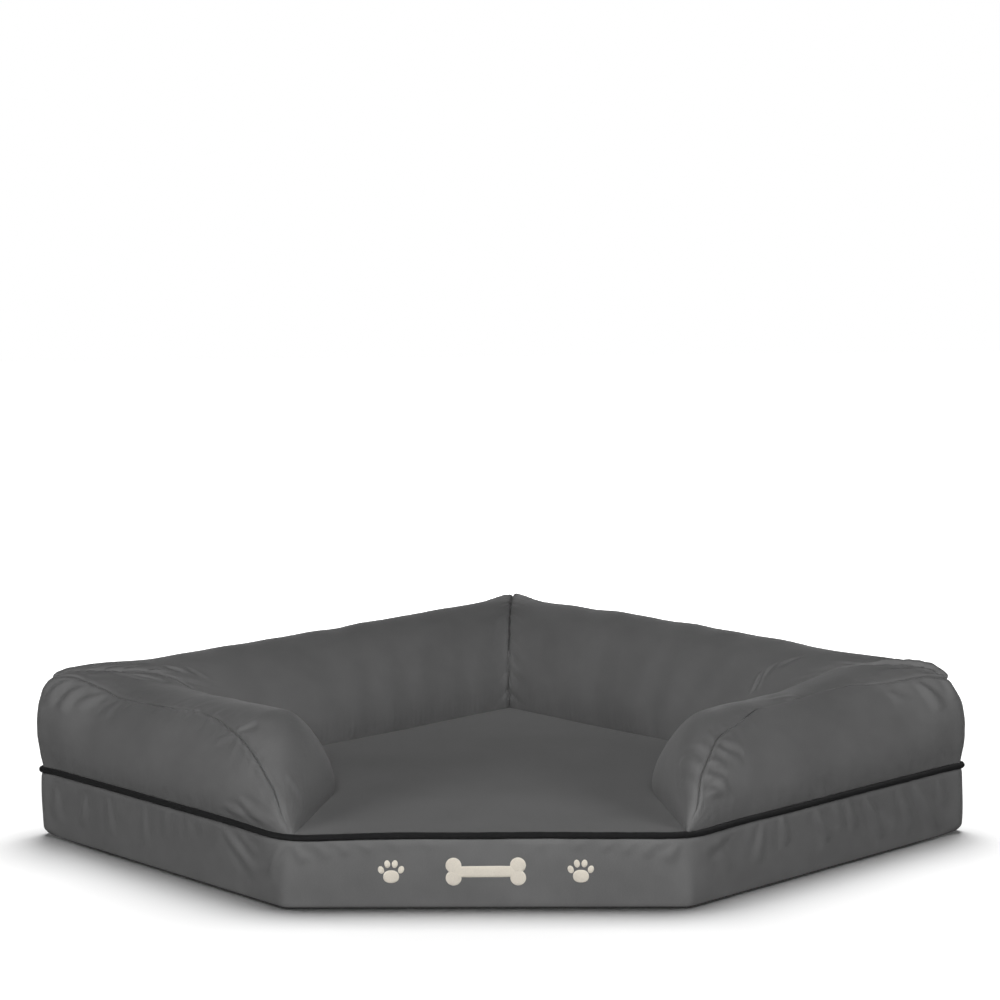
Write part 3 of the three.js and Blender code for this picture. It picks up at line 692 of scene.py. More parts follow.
def stuffed(grid, seam_rows, seam_columns, cap):
    """The grid with the wrinkles it gets when it is filled: its feet are sewn down and its seams gather.

    The cloth is blown up, and only the part of the result that is finer than the grid's own shape is kept.
    """
    rows, columns = grid.shape[:2]
    chance = np.random.default_rng(11)
    rough = normals_of(grid) * chance.normal(0, 0.25 * MM, (rows, columns, 1))
    rough[[0, -1]] = 0
    piece = mesh_object("stuffing", (grid + rough).reshape(-1, 3), grid_faces(rows, columns))
    held = piece.vertex_groups.new(name="held")
    ends = [r * columns + c for r in range(rows) for c in range(columns)
            if r in (0, rows - 1) or c in (0, columns - 1)]
    held.add(ends, 1.0, "REPLACE")
    sewn = piece.vertex_groups.new(name="sewn")
    seam = [r * columns + c for r in seam_rows for c in range(columns)]
    seam += [r * columns + c for c in seam_columns for r in range(rows)]
    sewn.add(seam, 1.0, "REPLACE")
    cloth = piece.modifiers.new("cloth", "CLOTH").settings
    cloth.quality = 6
    cloth.mass = 0.25
    cloth.tension_stiffness = 25
    cloth.compression_stiffness = 18
    cloth.shear_stiffness = 8
    cloth.bending_stiffness = 0.12
    cloth.air_damping = 3
    cloth.vertex_group_mass = "held"
    cloth.pin_stiffness = 1
    cloth.use_pressure = True
    cloth.uniform_pressure_force = 3.5
    cloth.vertex_group_shrink = "sewn"
    cloth.shrink_min = -0.015
    cloth.shrink_max = 0.045
    cloth.effector_weights.gravity = 0
    scene = bpy.context.scene
    for step in range(STUFFING_FRAMES):
        scene.frame_set(step + 1)
    result = np.empty(rows * columns * 3)
    shaped = piece.evaluated_get(bpy.context.evaluated_depsgraph_get()).data
    shaped.vertices.foreach_get("co", result)
    scene.frame_set(1)
    bpy.data.objects.remove(piece)
    moved = result.reshape(rows, columns, 3) - grid
    lift = np.sum(moved * normals_of(grid), axis=-1)
    lift = blurred(lift, FINEST_WRINKLE) - blurred(lift, COARSEST_WRINKLE)
    lift = cap * np.tanh(lift / cap) * near_seams(rows, columns, seam_rows, seam_columns)
    lift = lift * np.clip(from_ends(rows) / 3, 0, 1)[:, None] * np.clip(from_ends(columns) / 6, 0, 1)
    return grid + normals_of(grid) * lift[..., None]


def near_seams(rows, columns, seam_rows, seam_columns):
    """How much of the wrinkles is kept: all beside a seam or an end, and less where the cloth is taut."""
    row, column = np.meshgrid(np.arange(rows), np.arange(columns), indexing="ij")
    near = sum(bump(row - seam, 5) for seam in seam_rows)
    near = near + sum(bump(column - seam, 9) for seam in (0, *seam_columns, columns - 1))
    return 0.25 + 0.75 * np.clip(near, 0, 1)


def blurred(field, reach):
    """The field's slow part, without the wrinkles that are finer than the reach, in grid steps."""
    kernel = np.hanning(4 * reach + 1)
    kernel = kernel / kernel.sum()
    for axis in (0, 1):
        ends = [(2 * reach, 2 * reach) if i == axis else (0, 0) for i in (0, 1)]
        field = np.apply_along_axis(np.convolve, axis, np.pad(field, ends, "edge"), kernel, "valid")
    return field


RIM_STEP = 5 * MM
WRINKLE_CAP = 5 * MM


def column_at(along, place):
    return float(np.interp(place, along, np.arange(len(along))))


def rim_surface():
    grid, along = rim_grid(RIM_STEP)
    mitres = [int(round(column_at(along, outline.middle[name]))) for name in outline.SQUARE]
    grid = stuffed(grid, [SEAM_ROW], mitres, WRINKLE_CAP)
    return grid, along


# ---- folds of the rim's cloth, by their places along the outline and up or across the panel ----
# (panel, corner, (millimetres after the corner, millimetres up the panel) at each end, width, height)
RIM_FOLDS = (
    ("outer_panel_left", "left", (23, 116), (17, 76), 5, 2.6),
    ("outer_panel_left", "left", (40, 115), (35, 72), 5, 2.4),
    ("outer_panel_left", "left", (62, 112), (50, 80), 6, 1.8),
    ("outer_panel_left", "left", (86, 102), (92, 74), 7, 1.3),
    ("outer_panel_left", "front_left", (-142, 80), (-114, 94), 5, 1.9),
    ("outer_panel_left", "front_left", (-74, 26), (-20, 6), 6, 2.4),
    ("outer_panel_left", "front_left", (-100, 16), (-40, 4), 6, 1.6),
    ("inner_panel_front_left", "left", (4, 22), (18, 1), 5, 1.8),
    ("inner_panel_front_left", "left", (24, 62), (44, 90), 5, -2.4),
    ("inner_panel_front_left", "left", (14, 52), (34, 84), 9, 1.6),
    ("inner_panel_front_left", "front_left", (-117, 1), (-95, 24), 4, -2.6),
    ("inner_panel_front_left", "front_left", (-34, 20), (-24, 44), 5, 1.6),
    ("inner_panel_back_left", "left", (-29, 100), (-24, 126), 5, -2.2),
    ("inner_panel_back_left", "left", (-48, 106), (-38, 128), 5, -1.2),
    ("outer_panel_right", "right", (-36, 110), (-31, 68), 5, 2.4),
    ("outer_panel_right", "right", (-8, 106), (-8, 78), 4, 1.8),
    ("outer_panel_right", "right", (-70, 108), (-64, 84), 7, 0.9),
    ("outer_panel_right", "front_right", (66, 90), (98, 70), 5, -2.8),
    ("outer_panel_right", "front_right", (42, 74), (66, 62), 5, 2.4),
    ("outer_panel_right", "front_right", (33, 58), (58, 45), 5, 2.4),
    ("outer_panel_right", "front_right", (22, 36), (60, 40), 6, 2.0),
    ("inner_panel_front_right", "front_right", (50, 38), (46, 4), 4, -2.2),
    ("inner_panel_front_right", "front_right", (42, 42), (33, 6), 4, 2.0),
    ("inner_panel_front_right", "front_right", (26, 32), (20, 4), 4, 1.8),
    ("inner_panel_front_right", "right", (-226, 13), (-186, 4), 6, 1.8),
    ("inner_panel_back_right", "right", (108, 116), (92, 150), 2.2, -3.4),
    ("inner_panel_back_right", "right", (99, 104), (94, 130), 5, -0.9),
    ("inner_panel_back_right", "right", (76, 82), (88, 110), 5, -1.0),
)


def rim_folds(name, along, up):
    lift = 0 * along
    for panel, corner, start, end, width, height in RIM_FOLDS:
        if name.endswith(panel):
            x = along - outline.middle[corner]
            lift = lift + fold(x, up, np.array(start) * MM, np.array(end) * MM, width * MM, height * MM)
    return lift


def seam_gathers(along, away, seed, size=1.0):
    """Small puckers that run square to a seam and fade away from it."""
    ripple = waves(along, away * 0.15, 17 * MM, seed) + 0.6 * waves(along, away * 0.2, 9 * MM, seed + 1)
    return size * 0.55 * MM * ripple * np.exp(-away / (13 * MM))


# (corner, millimetres after it, how far the long seam sinks in): it is pulled tight at the ends and corners
SEAM_SINK = (("front_right", 0, 2.4), ("front_right", 105, 2.4), ("front_right", 140, 0.6),
             ("right", -95, 0.5), ("right", -60, 1.4), ("right", 0, 2.3), ("left", 0, 2.3),
             ("left", 100, 2.0), ("left", 130, 0.6), ("left", 160, 0.6), ("left", 185, 2.2),
             ("front_left", 0, 2.4))


def seam_roll(away, sink=2.3 * MM):
    """A cloth edge turns down into its seam, and stands up a little beside it."""
    return -sink * np.exp(-away / (1.2 * MM)) + 0.22 * sink * bump(away - 5 * MM, 4 * MM)


PANEL_STEP = 0.5  # of a step of the rim's grid
STUFFING_START = 5  # steps of the rim's grid from a free end's tip to its stuffing
MITRE_SINK = 3 * MM
TIP_FADE = 26 * MM  # the folds die out where a free end's cloth runs into its tip
FOOT_FADE = 12 * MM  # and towards the seam at its foot
LIP, LIP_FROM_SEAM, LIP_WIDTH = 5 * MM, 5 * MM, 4 * MM
LIP_TOP, LIP_FADE = 95 * MM, 25 * MM


def rim_panel(name, surface, along, rows, columns, outer, seams):
    """One panel of the rim, as a fine grid, with rolled seams and folds."""
    row_places = graded(*rows, PANEL_STEP, not outer, outer)
    column_places = graded(*columns, PANEL_STEP, "start" in seams, "end" in seams)
    grid = resampled(surface, row_places, column_places)
    place = np.interp(column_places, np.arange(len(along)), along)[None] + 0 * grid[..., 0]
    up = run_lengths(grid, 0)
    across = run_lengths(grid, 1)
    length, reach = up[-1:], across[:, -1:]
    from_seam = length - up if outer else up
    from_foot = up if outer else length - up
    sink = profiled(place, SEAM_SINK, 10 * MM)
    lift = seam_roll(from_seam, sink) + seam_gathers(place, from_seam, 21) * sink / (2.4 * MM)
    lift = lift + seam_gathers(place, from_foot, 31, 0.7)
    for seam, away, seed in (("start", across, 41), ("end", reach - across, 43)):
        if seam in seams:
            lift = lift + seam_roll(away, MITRE_SINK) + seam_gathers(up, away, seed, 1.5)
    lift = lift + 0.5 * MM * waves(place, up, 90 * MM, 51)
    lift = lift + rim_folds(name, place, up)
    if name == "rim_inner_panel_back_right":  # its edge stands up as a lip behind the mitre seam
        lift = lift + LIP * bump(across - LIP_FROM_SEAM, LIP_WIDTH) * eased((LIP_TOP - up) / LIP_FADE)
    from_tip = np.minimum(place, 2 * outline.middle["back"] - place)
    lift = lift * eased(from_tip / TIP_FADE) * np.clip(from_foot / FOOT_FADE, 0, 1)
    return grid + normals_of(grid) * lift[..., None]


def make_rim():
    surface, along = rim_surface()
    last = len(along) - 1
    mitre = {name: column_at(along, outline.middle[name]) for name in outline.SQUARE}
    spans = {"front_right": (0, mitre["right"]), "back_right": (mitre["right"], mitre["back"]),
             "back_left": (mitre["back"], mitre["left"]), "front_left": (mitre["left"], last)}
    seams = {"front_right": ("end",), "back_right": ("start", "end"),
             "back_left": ("start", "end"), "front_left": ("start",)}
    for hand, columns, ends in (("right", (0, mitre["back"]), ("end",)),
                                ("left", (mitre["back"], last), ("start",))):
        name = f"rim_outer_panel_{hand}"
        grid = rim_panel(name, surface, along, (0, SEAM_ROW), columns, True, ends)
        panel = cloth_piece(f"cloth_{name}", grid, CLOTH_THICKNESS)
        finished(panel, CLOTH, nodes=[name])
    for place, columns in spans.items():
        name = f"rim_inner_panel_{place}"
        grid = rim_panel(name, surface, along, (SEAM_ROW, SECTION_ROWS - 1), columns, False, seams[place])
        panel = cloth_piece(f"cloth_{name}", grid, CLOTH_THICKNESS)
        finished(panel, CLOTH, nodes=[name])
    for place, (start, end) in spans.items():
        make_stuffing(surface, place, max(start, STUFFING_START), min(end, last - STUFFING_START))


def make_stuffing(surface, place, start, end):
    """The inner bag of a bolster and the fibre in it, which follow its cloth from inside."""
    rows = np.linspace(0, SECTION_ROWS - 1, 28)
    columns = np.linspace(start, end, max(int((end - start) / 2.5), 8))
    skin = resampled(surface, rows, columns)
    for part, material, slot, depth in (("bag", LINER, "liner_cloth", 4.5 * MM),
                                        ("fill", FIBRE, "fibre_fill", 6.5 * MM)):
        pinch = np.clip(from_ends(len(columns)) / 2, 0, 1)[None, :, None]
        middle = skin.mean(axis=0, keepdims=True)
        inside = skin - normals_of(skin) * depth
        inside = middle + (inside - middle) * (0.9 + 0.1 * pinch)
        inside[..., 2] = np.maximum(inside[..., 2], BASE_TOP + depth * 0.6)
        body = mesh_object(f"bolster_{part}_piece_{place}", inside.reshape(-1, 3),
                           grid_faces(*inside.shape[:2]))
        fix_normals(body, closing=True)
        finished(body, material, nodes=[f"bolster_{part}_{place}"])


# ---- mattress: sleeping surface, border, piping, underside ----
def make_top_panel():
    """The sleeping surface: low at its seam under the piping and crowned a little everywhere else."""
    columns = 420
    rows = 80
    edge_height = BASE_TOP - 1.5 * MM
    along = np.linspace(0, outline.length, columns, endpoint=False)
    edge = placed(along, 0 * along + 3.2 * MM, 0 * along + edge_height)
    centre = np.array([0, SIDE_Y + 20 * MM, BASE_TOP])
    # rows run from the edge to just short of the middle, a little closer together at the edge
    share = (1 - np.linspace(0, 1, rows) ** 1.15)[:, None, None] * 0.995 + 0.005
    grid = centre + (edge[None] - centre) * share
    x, y = grid[..., 0], grid[..., 1]
    inwards = np.linspace(0, 1, rows)[:, None]
    crown = 1.5 * MM + 2.5 * MM * np.sin(inwards * math.pi / 2) ** 0.5
    grid[..., 2] = edge_height + np.where(inwards > 0, crown, 0)
    soft = 0.35 * MM * waves(x, y, 160 * MM, 61) + 0.05 * MM * waves(x, y, 60 * MM, 62)
    grid[..., 2] += soft * np.clip(inwards * 12, 0, 1)
    vertices, faces = disc(grid, grid[-1].mean(axis=0))
    panel = mesh_object("cloth_sleeping_surface", vertices, faces)
    set_weave(panel, vertices[:, :2])
    thickened(panel, CLOTH_THICKNESS)
    finished(panel, CLOTH, nodes=["cover_top_panel"])


# (millimetres from the front corner towards the front's middle, height) at each end, width, height
FRONT_FOLDS = (
    ((10, 72), (22, 52), 5, 1.5), ((34, 74), (46, 56), 5, 1.2), ((58, 74), (66, 60), 4, 1.1),
    ((82, 74), (90, 62), 4, 1.1), ((112, 74), (122, 64), 4, 0.8), ((150, 74), (156, 64), 4, 0.7),
)
LEFT_FOLDS = (
    ((-104, 70), (-44, 32), 6, 2.2), ((-78, 72), (-40, 50), 5, 1.4), ((-5, 70), (-24, 34), 5, 1.8),
    ((-170, 72), (-160, 44), 6, 0.8), ((-248, 68), (-251, 24), 6, 1.3), ((-320, 68), (-317, 24), 6, 1.6),
    ((-366, 64), (-375, 24), 6, 1.9), ((-427, 62), (-425, 22), 7, 1.7), ((-205, 70), (-212, 40), 7, 0.8),
)
RIGHT_FOLDS = (
    ((-368, 70), (-416, 8), 8, 3.4), ((-340, 72), (-368, 24), 7, 2.0), ((-280, 73), (-314, 20), 6, 3.3),
    ((-251, 73), (-266, 40), 5, 2.4), ((-195, 74), (-220, 34), 6, 3.0), ((-228, 74), (-246, 46), 6, 1.3),
    ((-142, 74), (-152, 42), 6, 2.4), ((-112, 74), (-104, 30), 6, 1.6), ((-60, 70), (-20, 60), 6, 1.5),
    ((-36, 70), (-60, 30), 6, 1.1), ((-410, 70), (-424, 40), 6, 1.2),
)


def border_folds(along, height):
    """Soft upright and slanting folds that hang from the piping."""
    lift = 0 * along
    for name, away, folds in (("front_left", 1, LEFT_FOLDS), ("front_right", -1, RIGHT_FOLDS)):
        x = after_corner(along, name) * away
        for start, end, width, size in (*FRONT_FOLDS, *folds):
            lift = lift + fold(x, height, np.array(start) * MM, np.array(end) * MM, width * MM, size * MM)
    return lift


BORDER_STEP = 3.2 * MM
BORDER_LOW = 0.6 * MM
BORDER_HIGH = PIPING_Z - 1.5 * MM
TURN_UNDER = 3.5 * MM  # the border's foot rounds under by this much, and by more at the square corners
CORNER_SPAN = 20 * MM
TUCK, TUCK_HEIGHT = 1.6 * MM, 7 * MM


def border_profile(along, height):
    """Inset of the border's face at a height: tucked behind the piping and rounded under at the floor."""
    share = (height - BORDER_LOW) / (BORDER_HIGH - BORDER_LOW)
    belly = -1.3 * MM * np.sin(math.pi * np.clip(share, 0, 1)) ** 0.7
    turn = TURN_UNDER * (1 + 2.2 * outline.beside(along, CORNER_SPAN))
    under = 0.75 * turn * np.clip(1 - (height - BORDER_LOW) / turn, 0, 1) ** 2.4
    tucked = TUCK * np.clip((height - BORDER_HIGH + TUCK_HEIGHT) / TUCK_HEIGHT, 0, 1) ** 1.5
    return belly + under + tucked


def border_lift(along, height):
    """How far the border's cloth stands out from its profile: its folds and its soft unevenness."""
    lift = border_folds(along, height) + 0.35 * MM * waves(along, height, 70 * MM, 71)
    lift = lift + 0.3 * MM * waves(along, height * 0.3, 24 * MM, 73) * bump(height - BORDER_HIGH, 18 * MM)
    near_piping = np.clip((BORDER_HIGH - height) / TUCK_HEIGHT, 0, 1)
    return lift * near_piping * np.clip(height / FOOT_FADE, 0, 1)


def border_strip(node, start, end, low, high, zip_edges=()):
    """A strip of the border from start to end along the outline. Its edges at the zip roll inwards."""
    height = graded(low, high, BORDER_STEP, True, True)[:, None]
    along = np.linspace(start, end, int((end - start) / BORDER_STEP))[None]
    along, height = along + 0 * height, height + 0 * along
    lift = border_lift(along, height)
    for edge in zip_edges:
        near = np.abs(height - edge)
        lift = lift * np.clip(near / (20 * MM), 0, 1)
        lift = lift - 1.6 * MM * np.exp(-near / (0.8 * MM)) + 0.3 * MM * bump(near - 3 * MM, 2 * MM)
    for edge in (start, end):
        lift = lift + seam_roll(np.abs(along - edge)) * 0.7
    grid = placed(along, border_profile(along, height) - lift, height)
    strip = cloth_piece(f"cloth_{node}", grid, CLOTH_THICKNESS, run=along - start)
    finished(strip, CLOTH, nodes=[node])


def back_right_place(y, start=0):
    """Where the right back side reaches this Y, along the outline, looked for from a start."""
    fine = np.linspace(start, outline.middle["back"], 20000)
    fine = fine[fine > outline.middle["right"]]
    points, _ = outline.at(fine)
    return float(fine[np.argmin(np.abs(points[:, 1] - y))])


SEAM_RIGHT = back_right_place(BORDER_SEAM_Y)
SEAM_LEFT = 2 * outline.middle["back"] - SEAM_RIGHT


def make_border():
    below = ZIP_Z - ZIP_HALF + MM
    above = ZIP_Z + ZIP_HALF - MM
    border_strip("border_front", SEAM_LEFT, SEAM_RIGHT + outline.length, BORDER_LOW, BORDER_HIGH)
    border_strip("border_back_lower", SEAM_RIGHT, SEAM_LEFT, BORDER_LOW, below, [below])
    border_strip("border_back_upper", SEAM_RIGHT, SEAM_LEFT, above, BORDER_HIGH, [above])


def make_piping():
    """Cord wrapped in tape, round the whole top edge, a little uneven where it is sewn."""
    columns = 900
    rows = 15
    along = np.linspace(0, outline.length, columns, endpoint=False)[None]
    angle = np.linspace(0, 2 * math.pi, rows)[:, None]
    wander = 0.35 * MM * waves(np.cos(along / 0.46), np.sin(along / 0.46), 0.35, 81)
    swell = 1 + 0.03 * waves(along, 0, 30 * MM, 82)
    inset = 0.3 * MM - PIPING_RADIUS * 0.9 * swell * np.cos(angle) + 0 * along
    height = PIPING_Z + wander + PIPING_RADIUS * 0.88 * swell * np.sin(angle)
    flank = bump(np.cos(angle) + 0.1, 0.25) * (np.sin(angle) < 0)  # the stitched groove under the cord
    inset = inset + flank * 0.6 * MM
    grid = placed(along + 0 * angle, inset, height)
    piece = mesh_object("cloth_piping", grid.reshape(-1, 3), grid_faces(rows, columns, around=True))
    run = np.stack([along + 0 * angle, PIPING_RADIUS * angle + 0 * along], axis=-1)
    set_weave(piece, run.reshape(-1, 2))
    clean = piece.modifiers.new("closed", "WELD")
    clean.merge_threshold = 0.01 * MM
    finished(piece, PIPING_CLOTH, nodes=["piping"])


UNDERSIDE_COLUMNS = 360
UNDERSIDE_RINGS = ((2.6, 2.6), (3.6, 1.2), (5, 0.6), (9, 0.7), (18, 0.6))  # inset, height, millimetres


def flat_ring(inset, height):
    along = np.linspace(0, outline.length, UNDERSIDE_COLUMNS, endpoint=False)
    return placed(along, inset + 5.5 * MM * outline.beside(along, CORNER_SPAN), 0 * along + height)


def disc(grid, middle):
    """Vertices and faces of a grid of closed rows, with its last row filled by a fan to the middle."""
    rows, columns = grid.shape[:2]
    vertices = np.vstack([grid.reshape(-1, 3), middle])
    faces = [tuple(f) for f in grid_faces(rows, columns, around=True)]
    first = (rows - 1) * columns
    faces += [(first + c, first + (c + 1) % columns, len(vertices) - 1) for c in range(columns)]
    return vertices, faces


def make_underside():
    """The base cloth, with its turned edge, and rows of non-slip dots on it."""
    rings = [flat_ring(inset * MM, height * MM) for inset, height in UNDERSIDE_RINGS]
    centre = np.array([0, SIDE_Y, 0.6 * MM])
    for share in (0.8, 0.6, 0.4, 0.2, 0.02):
        rings.append(centre + (rings[len(UNDERSIDE_RINGS) - 1] - centre) * share)
    vertices, faces = disc(np.stack(rings), centre)
    panel = mesh_object("cloth_underside", vertices, [face[::-1] for face in faces])
    thickened(panel, 0.5 * MM)
    finished(panel, BASE_CLOTH, nodes=["cover_bottom_panel"])
    vertices, faces = [], []
    for x, y in dot_places():
        add_dot(vertices, faces, x, y)
    dots = mesh_object("non_slip_dots", vertices, faces)
    finished(dots, DOTS)


DOT_PITCH = 36 * MM
DOT_RADIUS = 3.4 * MM


def dot_places():
    edge = 22 * MM * math.sqrt(2)
    reach = int(HALF_WIDTH / DOT_PITCH) + 1
    for row in range(-2 * reach, 2 * reach):
        for column in range(-reach, reach + 1):
            x = (column + 0.5 * (row % 2)) * DOT_PITCH
            y = SIDE_Y + row * DOT_PITCH / 2
            inside = abs(x) + abs(y - SIDE_Y) < HALF_WIDTH - edge
            if inside and y > FRONT_Y + 22 * MM:
                yield x, y


def add_dot(vertices, faces, x, y):
    """A low round dome that hangs under the base cloth, its top hidden in the cloth."""
    sides = 12
    start = len(vertices)
    for radius, z in ((1.0, 0.8), (0.92, 0.35), (0.6, 0.05)):
        for k in range(sides):
            angle = 2 * math.pi * k / sides
            vertices.append((x + DOT_RADIUS * radius * math.cos(angle),
                             y + DOT_RADIUS * radius * math.sin(angle), z * MM))
    for ring in range(2):
        for k in range(sides):
            a, b = start + ring * sides + k, start + ring * sides + (k + 1) % sides
            faces.append((a, a + sides, b + sides, b))
    faces.append(tuple(start + 2 * sides + k for k in reversed(range(sides))))
    faces.append(tuple(start + k for k in range(sides)))


# ---- zip ----
COIL_PITCH = 2.6 * MM


def make_tapes():
    for hand, side in (("upper", 1), ("lower", -1)):
        columns = 460
        along = np.linspace(SEAM_RIGHT - 2 * MM, SEAM_LEFT + 2 * MM, columns)[None]
        up = np.linspace(0.05, 12.5, 7)[:, None] * MM
        ripple = 0.12 * MM * waves(along, up, 40 * MM, 91 + side)
        heights = ZIP_Z + side * up + 0 * along
        if side < 0:
            heights, ripple = heights[::-1], ripple[::-1]
        grid = placed(along + 0 * up, 1.9 * MM + ripple, heights)
        tape = cloth_piece(f"cloth_zip_tape_{hand}", grid, 0.6 * MM)
        finished(tape, TAPE, nodes=[f"zip_tape_{hand}"])


def make_coils():
    """Two rows of nylon teeth that mesh in the middle of the zip."""
    first = back_right_place(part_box("zip_coil_upper")[0].y, SEAM_RIGHT)
    last = 2 * outline.middle["back"] - first
    rings = ((-0.2, 0.35), (0.4, 0.75), (1.2, 0.9), (2.8, 0.8), (3.6, 0.45))
    sides = 6
    for hand, side in (("upper", 1), ("lower", -1)):
        shift = 0 if side > 0 else COIL_PITCH / 2
        centres = np.arange(first + shift, last, COIL_PITCH)
        angle = np.arange(sides) * 2 * math.pi / sides
        shape = np.array([[(0.95 * size * math.cos(a), up, size * math.sin(a)) for a in angle]
                          for up, size in rings]).reshape(-1, 3) * MM
        along = centres[:, None] + shape[None, :, 0]
        height = ZIP_Z + side * shape[None, :, 1] + 0 * along
        inset = 0.45 * MM - shape[None, :, 2] + 0 * along
        vertices = placed(along, inset, height).reshape(-1, 3)
        tooth = [tuple(f) for f in grid_faces(len(rings), sides, around=True)]
        tooth += [tuple(reversed(range(sides))), tuple(range((len(rings) - 1) * sides, len(rings) * sides))]
        if side < 0:
            tooth = [face[::-1] for face in tooth]
        size = len(shape)
        faces = [tuple(i + n * size for i in face) for n in range(len(centres)) for face in tooth]
        coil = mesh_object(f"nylon_zip_coil_{hand}", vertices, faces)
        fix_normals(coil)
        finished(coil, NYLON, nodes=[f"zip_coil_{hand}"])


def side_matrix(node, turn_degrees):
    """Places a piece drawn along +X, outwards +Y, at a frame node's middle on a back side."""
    low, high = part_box(node)
    return Matrix.Translation((low + high) / 2) @ Matrix.Rotation(math.radians(turn_degrees), 4, "Z")


def bevelled(name, parts, width, segments=2):
    """One piece from solids given as (outline points in X and Z, low Y, high Y), with rounded edges."""
    mesh = bmesh.new()
    for points, low, high in parts:
        front = [mesh.verts.new((x, high, z)) for x, z in points]
        back = [mesh.verts.new((x, low, z)) for x, z in points]
        mesh.faces.new(front)
        mesh.faces.new(back[::-1])
        for k in range(len(points)):
            after = (k + 1) % len(points)
            mesh.faces.new((front[k], back[k], back[after], front[after]))
    bmesh.ops.recalc_face_normals(mesh, faces=mesh.faces)
    data = bpy.data.meshes.new(name)
    mesh.to_mesh(data)
    mesh.free()
    piece = linked(name, data)
    edge = piece.modifiers.new("edges", "BEVEL")
    edge.width = width
    edge.segments = segments
    edge.limit_method = "ANGLE"
    edge.harden_normals = True
    return piece


def oval(width, height, power=2.0, count=28, centre=(0, 0)):
    points = []
    for k in range(count):
        a = 2 * math.pi * k / count
        x = math.copysign(abs(math.cos(a)) ** (2 / power), math.cos(a))
        z = math.copysign(abs(math.sin(a)) ** (2 / power), math.sin(a))
        points.append((centre[0] + width / 2 * x, centre[1] + height / 2 * z))
    return points


def rectangle(left, right, low, high):
    """Corners of a rectangle given in millimetres."""
    return [(x * MM, z * MM) for x, z in ((left, low), (right, low), (right, high), (left, high))]


def make_slider():
    """Two plates joined by a post, with rails along their edges and a bridge for the puller."""
    low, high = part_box("zip_slider")
    half = (high.z - low.z) / 2
    plate = [(-7.5 * MM, -half * 0.62), (-3 * MM, -half), (4.5 * MM, -half), (7.5 * MM, -half * 0.8),
             (7.5 * MM, half * 0.8), (4.5 * MM, half), (-3 * MM, half), (-7.5 * MM, half * 0.62)]
    offset = -1.05 * MM  # the face of the border, from the middle of the slider
    body = [
        (plate, offset + 1.1 * MM, offset + 2.3 * MM),
        (plate, offset - 3.7 * MM, offset - 2.6 * MM),
        (rectangle(1.5, 5.5, -0.5, 0.5), offset - 2.7 * MM, offset + 1.2 * MM),
    ]
    for side in (-1, 1):
        rail = [(-6 * MM, side * half * 0.78), (6.5 * MM, side * half * 0.78),
                (6.5 * MM, side * half * 0.98), (-4 * MM, side * half * 0.98)]
        body.append((rail, offset - 1.1 * MM, offset + 1.2 * MM))
        leg = rectangle(side * 4.5, side * 5.9, -1.1, 1.1)
        body.append((leg, offset + 2.2 * MM, offset + 5.5 * MM))
    body.append((rectangle(-5.9, 5.9, -1.1, 1.1), offset + 4.5 * MM, offset + 5.8 * MM))
    piece = bevelled("metal_zip_slider", body, 0.3 * MM)
    piece.matrix_world = side_matrix("zip_slider", 45)
    finished(piece, METAL, body="slider", nodes=["zip_slider"])


def make_puller():
    """A flat pull tab with a raised oval, and two arms to a pin under the slider's bridge."""
    start, wide_from, end, half = 8.8 * MM, 4.8 * MM, -16.8 * MM, 4.2 * MM
    thick = 0.6 * MM
    rim = [(start, -2.6 * MM), (start, 2.6 * MM), (wide_from, half), (end + half, half)]
    rim += [(end + half - half * math.sin(a), half * math.cos(a))
            for a in np.linspace(0, math.pi, 12)[1:-1]]
    rim += [(end + half, -half), (wide_from, -half)]
    parts = [(rim, -thick, thick)]
    for side in (-1, 1):
        parts.append((rectangle(8.2, 16.8, side * 1.8, side * 2.8), -thick, thick))
    parts.append((rectangle(15.9, 17.2, -2.8, 2.8), -thick, thick))
    parts.append((oval(13 * MM, 3.6 * MM, 3, centre=(-5 * MM, 0)), thick * 0.9, thick * 1.4))
    piece = bevelled("metal_zip_puller", parts, 0.25 * MM)
    piece.matrix_world = side_matrix("zip_puller", 45)
    finished(piece, METAL, body="puller", nodes=["zip_puller"])


def make_stops():
    for hand, turn in (("left", 45), ("right", -45)):
        low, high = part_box(f"zip_stop_{hand}")
        clip = oval(4.6 * MM, high.z - low.z, 5)
        piece = bevelled(f"metal_zip_stop_{hand}", [(clip, -1.2 * MM, 1.2 * MM)], 0.4 * MM, 3)
        piece.matrix_world = side_matrix(f"zip_stop_{hand}", turn)
        finished(piece, METAL, nodes=[f"zip_stop_{hand}"])


LABEL_WIDTH, LABEL_HEIGHT = 30 * MM, 20 * MM
LABEL_GAP = 0.9 * MM


def make_label():
    """A small blank label that hangs on the lower border strip and curls a little off it."""
    low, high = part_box("care_label")
    middle = np.array((low + high) / 2)
    fine = np.linspace(outline.middle["right"], outline.middle["back"], 20000)
    points, _ = outline.at(fine)
    centre = fine[np.argmin(np.linalg.norm(points - middle[:2], axis=1))]
    u, v = np.meshgrid(np.linspace(-0.5, 0.5, 17) * LABEL_WIDTH, np.linspace(-0.5, 0.5, 12) * LABEL_HEIGHT)
    along, height = centre + u, middle[2] + v
    curl = 1.2 * MM * (0.5 - v / LABEL_HEIGHT) ** 2 + 0.25 * MM * np.sin(u / (6 * MM))
    cloth = border_profile(along, height) - np.maximum(border_lift(along, height), 0)
    label = cloth_piece("care_label_cloth", placed(along, cloth - LABEL_GAP - curl, height), 0.3 * MM)
    finished(label, LINER, nodes=["care_label"])


# ---- embroidery ----
STITCH_HEIGHT = 0.9 * MM


